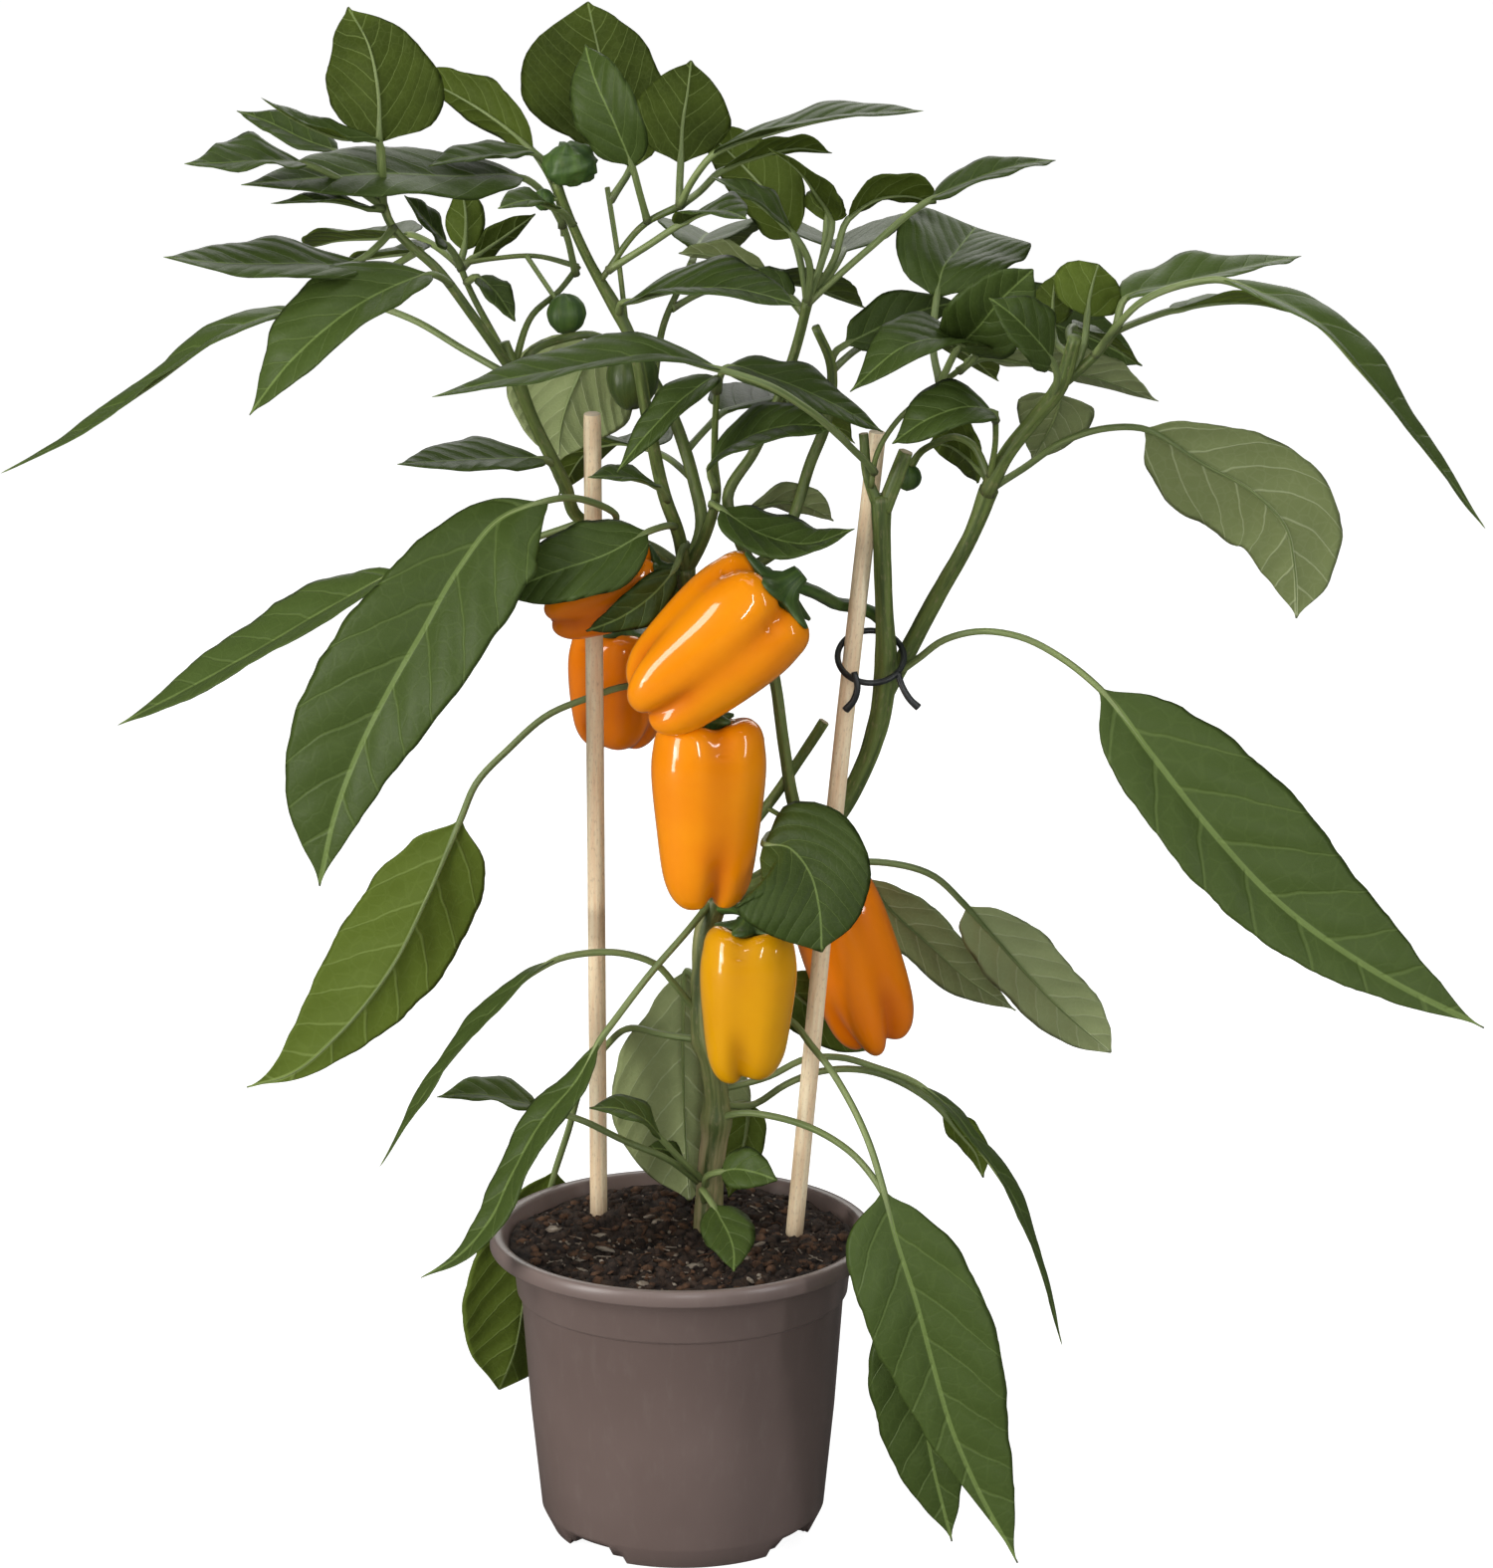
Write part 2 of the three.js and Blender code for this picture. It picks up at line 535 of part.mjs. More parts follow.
const crown = {
  // the upright bunch at the head of the middle stem
  shoot_middle: {
    stems: [
      { route: [[2.2, 378, -9], [2, 386, -8]], radii: [3.8, 3.9] },
      { route: [[2, 384, -8], [-1, 400, 0], [-5, 411, 3], [-12, 443, 6], [-19, 476, 8], [-24, 486, 8],
          [-34, 504, 10], [-44, 528, 14], [-46, 534, 15]],
        radii: [2.7, 2.5, 2.5, 2.4, 2.3, 2.6, 1.9, 1.7, 1.8] },
      { route: [[-29.5, 497, 9.5], [-12, 519, 12], [0, 525, 14]], radii: [1.2, 1.2, 1.4] },
      { route: [[2, 384, -8], [8, 395, -3], [13.5, 413, 2], [13, 428, 5], [14, 459, 11]],
        radii: [2.4, 2.2, 1.9, 1.3, 1.2] },
      { route: [[-20, 478, 8], [-23, 505, 2], [-27, 532, -5]], radii: [1, 1, 1] },
    ],
    leaves: [
      { stalk: [[-26, 527, -4], [-22, 533, -6], [-18.5, 539, -8]],
        rib: [[-22, 556, -9], [-29, 580, -14], [-34, 602, -22]],
        half: [20, 34], face: [0, 1, 0.15], fold: 10, shape: [[0.6, 0.8], [1, 0.55]], steps: 5 },
      { stalk: [[-12, 519, 12], [-15, 530, 16], [-17.5, 539.5, 18]],
        rib: [[-24, 556, 20], [-31, 572, 18], [-35, 586, 12]],
        half: 14, face: [-0.4, -1, 0.1] },
      { stalk: [[0, 525, 14], [0, 533, 10], [0.4, 541, 8]],
        rib: [[1, 555, 6], [3, 568, 2], [4.4, 580, -4]],
        half: 18, face: [0, 1, 0.2], fold: 8 },
      { stalk: [[-27, 500.5, 9.8], [-12, 510, 13], [0, 518, 15]],
        rib: [[8, 522, 20], [17, 523, 26], [25, 520, 32]],
        half: 12, face: [0, -0.3, 1] },
      { stalk: [[0, 525, 14], [5, 535, 18], [12, 544, 20]],
        rib: [[35, 553, 26], [62, 559, 32], [91, 561, 38]],
        half: 19, face: [0, -0.08, 1], fold: 10 },
      { stalk: [[0, 525, 14], [8, 531, 6], [15, 538, 2]],
        rib: [[30, 544, -4], [45, 547, -10], [57, 545, -14]],
        half: 11, face: [0, 0.6, 0.8] },
      { stalk: [[-23, 484, 8], [-22, 488, 14], [-20, 488.5, 18]],
        rib: [[0, 493, 26], [22, 493, 34], [45, 487, 40]],
        half: 19, face: [0, -0.28, 1] },
      { stalk: [[-5, 412, 4], [-8, 417, 10]],
        rib: [[-22, 421, 18], [-35, 421, 24]],
        half: 8, face: [0, -0.3, 1] },
      { stalk: [[13.5, 454, 10], [14, 459, 12]],
        rib: [[2, 452, 20], [-12, 438, 26], [-24, 423, 30]],
        half: 9, face: [-0.4, -0.6, 0.8] },
      { stalk: [[13.5, 416, 3], [11, 424, 8]],
        rib: [[25, 436, 16], [42, 441, 22], [60, 440, 28]],
        half: 14, face: [0, -0.5, 0.8] },
      { stalk: [[14, 454, 10], [15.5, 461, 12], [17, 463, 13]],
        rib: [[35, 459, 18], [56, 450, 20], [76.5, 438.5, 22]],
        half: 14, face: [0.1, -0.35, 1], fold: 8 },
      { stalk: [[12, 410, 1], [12, 411, 8], [15, 409, 14]],
        rib: [[30, 399, 24], [48, 395, 32], [66, 401, 36]],
        half: 13, face: [0, -0.5, 1], fold: 8 },
      { stalk: [[-40, 518, 12], [-46, 524, 22]],
        rib: [[-56, 527, 28], [-68, 524, 34]],
        half: 8, face: [0, -0.4, 1] },
    ],
    buds: [
      { centre: [-41, 541, 15], radius: 10, tall: 0.75 },
      { centre: [-51, 527.5, 14], radius: 4, root: [-44, 528, 14] },
    ],
  },
  // the pale growth behind it
  shoot_back: {
    stems: [
      { route: [[2, 384, -8], [8, 402, -16], [5, 420, -19], [2, 431, -20], [-3, 445, -21],
          [-10, 458, -22]],
        radii: [2.4, 2.4, 2.3, 2.3, 2.2, 2.2] },
      { route: [[-10, 457, -22], [-6, 480, -26], [4, 502, -30]], radii: [1.5, 1.3, 1.2] },
    ],
    leaves: [
      { stalk: [[-9, 455, -22], [-20, 464, -25], [-31, 470, -27]],
        rib: [[-40, 456, -30], [-45, 440, -32], [-46, 427, -33]],
        half: 25, face: [0, 1, 0], fold: 8, steps: 5 },
      { stalk: [[4, 502, -30], [6, 508, -36]],
        rib: [[10, 514, -52], [12, 512, -74], [12, 504, -96]],
        half: 21, face: [0, 0, 1] },
      { stalk: [[-3, 486, -27], [8, 492, -34]],
        rib: [[30, 496, -48], [50, 494, -62], [70, 486, -76]],
        half: 19, face: [0, 0.2, 1] },
      { stalk: [[2, 431, -20], [10, 440, -30], [16, 446, -38]],
        rib: [[34, 450, -54], [52, 446, -72], [66, 434, -90]],
        half: 22, face: [0.1, 0.2, 1] },
      { stalk: [[5, 420, -19], [-4, 428, -32], [-12, 432, -44]],
        rib: [[-26, 434, -64], [-38, 428, -86], [-46, 414, -108]],
        half: 23, face: [0, 0.2, 1], steps: 5 },
    ],
    buds: [],
  },
  // the stem between the fruits and the clip
  shoot_inner: {
    stems: [
      { route: [[27.6, 385, -6], [22, 398, -3], [18, 413, -4], [28, 431, -5], [37, 451, -4],
          [47, 484, 0], [48, 489, 1]],
        radii: [2.3, 2.3, 2.2, 2, 2, 1.9, 2.2] },
      { route: [[27.4, 386, -6], [38, 394, -7], [43, 406, -8], [49, 426, -10], [55, 442, -10],
          [57, 464, -9], [51, 479, -6]],
        radii: [2, 2.1, 2.1, 2.1, 2.1, 1.9, 1.7] },
    ],
    leaves: [
      { stalk: [[48, 487, 1], [46, 500, -4], [43, 512, -8]],
        rib: [[35, 527, -14], [20, 544, -20], [7, 555.5, -26]],
        half: 15, face: [0, 1, 0.3] },
      { stalk: [[48, 488, 1], [53, 503, 2], [57, 519, 0]],
        rib: [[51, 530, 4], [43, 540, 8], [33, 547, 10]],
        half: 12, face: [0.6, 0.3, 0.8] },
      { stalk: [[48, 488, 1], [48, 505, 6], [42, 515, 8]],
        rib: [[32, 524, 9], [22, 531, 9], [12, 536, 8]],
        half: 12, face: [0.3, -0.2, 1] },
      { stalk: [[48, 488, 1], [54, 508, -2], [55, 519, -4]],
        rib: [[55, 527, -8], [56, 534, -14]],
        half: 9, face: [0, 1, 0.5] },
      { stalk: [[48, 488, 1], [58, 505, -4], [63, 520, -8]],
        rib: [[72, 527, -10], [84, 529, -12], [96, 526, -14]],
        half: [7, 12], face: [0, 0.7, 0.7], shape: [0.6, 0.6] },
      { stalk: [[48, 488, 1], [57, 500, -4], [61, 507, -12]],
        rib: [[60, 509, -30], [58, 512, -52], [57, 510, -76]],
        half: 29, face: [0, 0, 1], fold: 24, steps: 5 },
      { stalk: [[48, 488, 1], [70, 508, 2], [93, 527, 2]],
        rib: [[110, 535, 2], [125, 540, 0], [140.6, 542.4, -4]],
        half: [10, 13], face: [0, -0.2, 1] },
      { stalk: [[47, 483, 0], [41, 490, -8], [33, 500, -12]],
        rib: [[20, 504, -14], [8, 507, -16], [-0.5, 507, -18]],
        half: 9, face: [0, 0.7, 0.7] },
      { stalk: [[47, 484, 0], [44, 488, -2], [42, 490, -4]],
        rib: [[34, 495, -6], [24, 500, -8]],
        half: 8, face: [0, -0.5, 0.8] },
      { stalk: [[22, 398, -3], [24, 406, -10]],
        rib: [[35, 411, -18], [48, 410, -26], [58, 404, -34]],
        half: 10, face: [0, 0.7, 0.6] },
      { stalk: [[56.8, 466, -9], [59, 470, -12], [62, 472, -13]],
        rib: [[70, 476, -15], [80, 481, -17], [92, 485.5, -18], [105, 488.5, -20]],
        half: 11, face: [0, -0.8, 0.6] },
      { stalk: [[57, 462, -9], [66, 470, -20], [74, 474, -30]],
        rib: [[90, 476, -46], [106, 470, -62], [120, 458, -78]],
        half: 21, face: [0, 0.1, 1] },
    ],
    buds: [
      { centre: [43, 447, 5], radius: 4, root: [38, 455, -4] },
    ],
  },
  // the growth above the right stem's fork
  shoot_fork: {
    stems: [
      { route: [[72, 417, 9], [74, 429, 9], [82, 443, 10], [97, 456, 9], [111, 467, 10]],
        radii: [1.2, 1, 1, 1, 1.2] },
    ],
    leaves: [
      { stalk: [[73.2, 423, 9], [71, 426, 14], [66, 431, 19], [60, 437, 30], [47, 448, 42],
          [32, 457, 46], [17, 462, 46]],
        rib: [[-8, 468, 47], [-40, 463, 50], [-68, 458, 52], [-93.6, 452, 54]],
        half: 22, face: [0, -0.05, 1], fold: 10 },
      { stalk: [[98, 457, 9], [95.5, 468, 7], [96.4, 490, 5]],
        rib: [[98, 499, 2], [104, 508, -8], [111, 517, -20]],
        half: [24, 27], face: [0, -0.7, 0.7], shape: [0.5, 0.4], steps: 5 },
      { stalk: [[98, 457, 9], [101, 464, 13], [104, 470, 16]],
        rib: [[113, 480, 22], [121, 490, 26], [132.5, 501, 28]],
        half: 16, face: [0.3, -1, 0.4], shape: [0.6, 0.7] },
      { stalk: [[105, 462, 9], [111, 467, 12]],
        rib: [[100, 474, 22], [84, 471, 30], [64, 454, 36]],
        half: 17, face: [0, -0.35, 1] },
      { stalk: [[108, 465, 10], [114, 467, 6]],
        rib: [[135, 464, -2], [158, 459, -12], [180.4, 450.3, -20]],
        half: 17, face: [0, 0.5, 0.85] },
      { stalk: [[109, 465.5, 10], [114, 471, 2], [120, 475, -8]],
        rib: [[127, 482, -14], [139, 480, -16], [158, 472.6, -17], [174, 464, -18]],
        half: 16, face: [0, -0.75, 0.65] },
    ],
    buds: [],
  },
  // the left branch
  shoot_left: {
    stems: [
      { route: [[2, 384, -8], [-10, 393, -18], [-25, 399, -22], [-38, 405, -20], [-44, 419, -6],
          [-56, 444, 0], [-63, 463, 2], [-66.5, 473, 2]],
        radii: [2.4, 2.4, 2.4, 2.4, 2.4, 2.3, 2.8, 2.3] },
      { route: [[-63, 462, 2], [-77, 482, 8], [-90, 500, 11], [-109, 520, 12], [-111, 526, 12]],
        radii: [2, 1.8, 1.8, 1.6, 1.8] },
      { route: [[-63, 462, 2], [-68, 472, -4], [-80, 496, -15], [-83, 504, -18]],
        radii: [1.5, 1.3, 1.2, 1.3] },
      { route: [[-63, 462, 2], [-55, 484, -8], [-45, 493, -14], [-38, 502, -18]],
        radii: [1.4, 1.2, 1.1, 1.2] },
      { route: [[-83, 503, -18], [-70, 505, -20], [-54, 506, -20], [-38, 502, -18]],
        radii: [1.1, 0.9, 0.9, 1.1] },
      { route: [[-62, 460, 2], [-55.5, 469.5, 0], [-46, 473.7, -4], [-31, 475.3, -8], [-21, 468, -9]],
        radii: [2, 1.6, 1.5, 1.6, 2] },
    ],
    leaves: [
      { stalk: [[-111, 525, 12], [-111.5, 538, 13], [-112, 549, 13]],
        rib: [[-112, 566, 12], [-115, 584, 9], [-123, 600, 2]],
        half: [24, 20], face: [0, 1, 0.2], fold: 10, steps: 5, shape: [[0.5, 1.2], [0.6, 0.8]] },
      { stalk: [[-111, 525, 12], [-111, 540, 18], [-112, 549, 20]],
        rib: [[-127, 551, 24], [-142, 557, 28], [-156, 566, 32]],
        half: 11, face: [0, -0.2, 1] },
      { stalk: [[-111, 526, 12], [-118, 538, 4], [-127, 545, 0]],
        rib: [[-140, 550, -4], [-152, 556, -8], [-165, 561, -12]],
        half: 9, face: [0, -0.4, 1] },
      { stalk: [[-111, 525, 12], [-125, 534, 18], [-140, 541, 24]],
        rib: [[-157, 542, 30], [-172, 541, 34], [-185, 541, 36]],
        half: 15, face: [0, -0.3, 1], wave: 3 },
      { stalk: [[-39, 499, -17], [-44, 518, -10], [-57, 535, -2]],
        rib: [[-85, 536, 6], [-112, 537, 14], [-140, 535, 22], [-164, 533, 28]],
        half: 22, face: [0, -0.35, 1], fold: 4 },
      { stalk: [[-111, 524, 12], [-114, 524, 16]],
        rib: [[-130, 527, 24], [-153, 526, 30]],
        half: 7, face: [0, -0.2, 1] },
      { stalk: [[-43, 514, -12], [-46, 530, -16], [-54, 545, -20]],
        rib: [[-66, 556, -26], [-83, 567, -32], [-100, 575, -40]],
        half: 13, face: [0, 1, 0.6] },
      { stalk: [[-44, 517, -10], [-46, 532, -6], [-54, 545, -4]],
        rib: [[-68, 544, 0], [-82, 543, 4], [-94, 540, 8]],
        half: 10, face: [0, -0.2, 1] },
      { stalk: [[-107, 517, 12], [-113, 510, 17], [-119, 505, 20]],
        rib: [[-145, 503, 28], [-170, 503, 34], [-193.6, 505.6, 40]],
        half: 18, face: [0, -0.3, 1], fold: 8 },
      { stalk: [[-98, 508, 12], [-110, 501, 2], [-120, 497, -2]],
        rib: [[-130, 495, -6], [-139, 491, -10]],
        half: 9, face: [0, 0.8, 0.6] },
      { stalk: [[-86, 495, 10], [-90, 498, 16], [-93, 499, 20]],
        rib: [[-110, 493, 28], [-128, 482, 36], [-146, 466, 42], [-162.5, 445, 46]],
        half: [16, 21], face: [-0.3, -0.6, 0.7] },
      { stalk: [[-98, 508, 12], [-97, 508, 8]],
        rib: [[-112, 506, 0], [-128, 503, -8]],
        half: 12, face: [0, 0, 1] },
      { stalk: [[-62, 459, 1], [-81, 470, -4], [-101, 482, -8], [-120, 488, -12], [-141, 486, -16]],
        rib: [[-170, 477, -20], [-200, 456, -24], [-230, 436, -28], [-257, 422.5, -32]],
        half: 19, face: [-0.35, -0.05, 1], fold: 8 },
      { stalk: [[-48, 426, -4], [-52, 428, 4]],
        rib: [[-70, 428, 14], [-90, 427, 24], [-107, 426, 32]],
        half: 15, face: [0, -0.3, 1], fold: 8 },
      { stalk: [[-83, 503, -18], [-92, 510, -28], [-100, 514, -36]],
        rib: [[-114, 513, -50], [-128, 512, -66], [-140, 509, -82]],
        half: 18, face: [-0.1, 0.2, 1] },
      { stalk: [[-82, 501, -17], [-84, 506, -13], [-87, 510, -9]],
        rib: [[-94, 518, -5], [-103, 529, -1]],
        half: 8, face: [0, -0.6, 0.8] },
      { stalk: [[-83, 502, -18], [-81, 508, -21]],
        rib: [[-80, 520, -24], [-82, 534, -29]],
        half: 8, face: [0, 1, 0.4] },
      { stalk: [[-82, 501, -17], [-78, 505, -20]],
        rib: [[-68, 512, -24], [-54, 522, -29]],
        half: 7, face: [0, 1, 0.5] },
      { stalk: [[-80, 496, -15], [-76, 498, -11]],
        rib: [[-70, 493, -7], [-62, 481, -3]],
        half: 6, face: [0, -0.4, 1] },
    ],
    buds: [
      { centre: [-18.5, 460, -9], radius: 10, tall: 1.25 },
      { centre: [-43, 484, -9], radius: 7.5, root: [-57.5, 506, -20] },
    ],
  },
  // the right branch
  shoot_right: {
    stems: [
      { route: [[116, 415, 14], [124, 431, 18], [134, 444, 20], [143, 456, 22], [148.8, 475, 24]],
        radii: [3.2, 2.9, 2.8, 2.9, 2.5] },
      { route: [[144, 457, 22], [151, 463, 22], [158, 470, 22], [165, 480, 22]],
        radii: [2, 1.8, 1.7, 1.8] },
      { route: [[117, 421, 16], [119, 434, 22], [119, 446, 26]], radii: [1.3, 1.1, 1.2] },
      { route: [[117, 420, 14], [111, 433, 8], [104, 436.5, 2], [96, 434, -5], [90, 430, -10],
          [87, 425, -13]],
        radii: [1.6, 1.4, 1.3, 1.3, 1.4, 1.6] },
    ],
    leaves: [
      { stalk: [[119, 443, 25], [118, 446, 28]],
        rib: [[108, 448, 32], [95, 444, 36], [80, 434, 38]],
        half: 14, face: [0, -0.5, 0.85] },
      { stalk: [[117, 418, 12], [114, 423, 2]],
        rib: [[108, 429, -6], [102, 433, -12], [94, 434, -20]],
        half: 13, face: [0, 1, 0.3] },
      { stalk: [[148, 461, 22], [152, 472, 20], [153, 483, 18]],
        rib: [[153.5, 489, 16], [155, 496, 14], [157, 503, 10]],
        half: [15, 14], face: [0, 1, 0.3], shape: [0.6, 0.5] },
      { stalk: [[138, 449, 20], [142, 456, 6], [143, 453, -2]],
        rib: [[142, 446, -8], [138, 437, -14], [133, 428, -20]],
        half: 15, face: [0, 1, 0] },
      { stalk: [[164, 478, 22], [166, 488, 20]],
        rib: [[185, 495, 14], [210, 501, 8], [233, 506, 0]],
        half: 16, face: [0, -0.1, 1] },
      { stalk: [[156, 468, 22], [164, 479, 30], [174, 489, 36], [193, 496, 42], [201, 497, 44]],
        rib: [[222, 490, 48], [240, 480, 50], [255, 464, 52], [285, 427, 54], [305, 401, 56]],
        half: 20, face: [0.5, -0.25, 1], fold: 12 },
      { stalk: [[163, 477, 22], [175, 482, 12], [184, 485, 6]],
        rib: [[200, 488, 0], [216, 488, -6], [232, 484, -12]],
        half: 13, face: [0, 0.3, 1] },
      { stalk: [[118, 417, 14], [129, 424, 4], [145, 435, -6], [161, 440, -12], [174, 440, -16]],
        rib: [[198, 426, -22], [217, 415, -28], [229, 402, -34], [233, 385, -40], [234, 366, -46]],
        half: [24, 23], face: [0, 1, 0.2], fold: 8, shape: [[0.7, 1], [0.9, 0.8]] },
      { stalk: [[148, 470, 23], [146, 477, 14], [148, 479, 8]],
        rib: [[158, 475, 2], [173.5, 464, -6]],
        half: 8, face: [0, -0.3, 1] },
      { stalk: [[147, 468, 23], [141, 474, 14], [140, 480, 10]],
        rib: [[140, 488, 6], [141, 499, 0]],
        half: 8, face: [0, 1, 0.3] },
      { stalk: [[140, 452, 21], [142, 460, 28], [140, 466, 32]],
        rib: [[132, 476, 36], [124, 484, 38], [116, 490, 38]],
        half: 13, face: [-0.3, -0.6, 0.7] },
    ],
    buds: [
      { centre: [86, 421, -13], radius: 5 },
    ],
  },
};

// ---------------------------------------------------------------- leaves of the lower plant

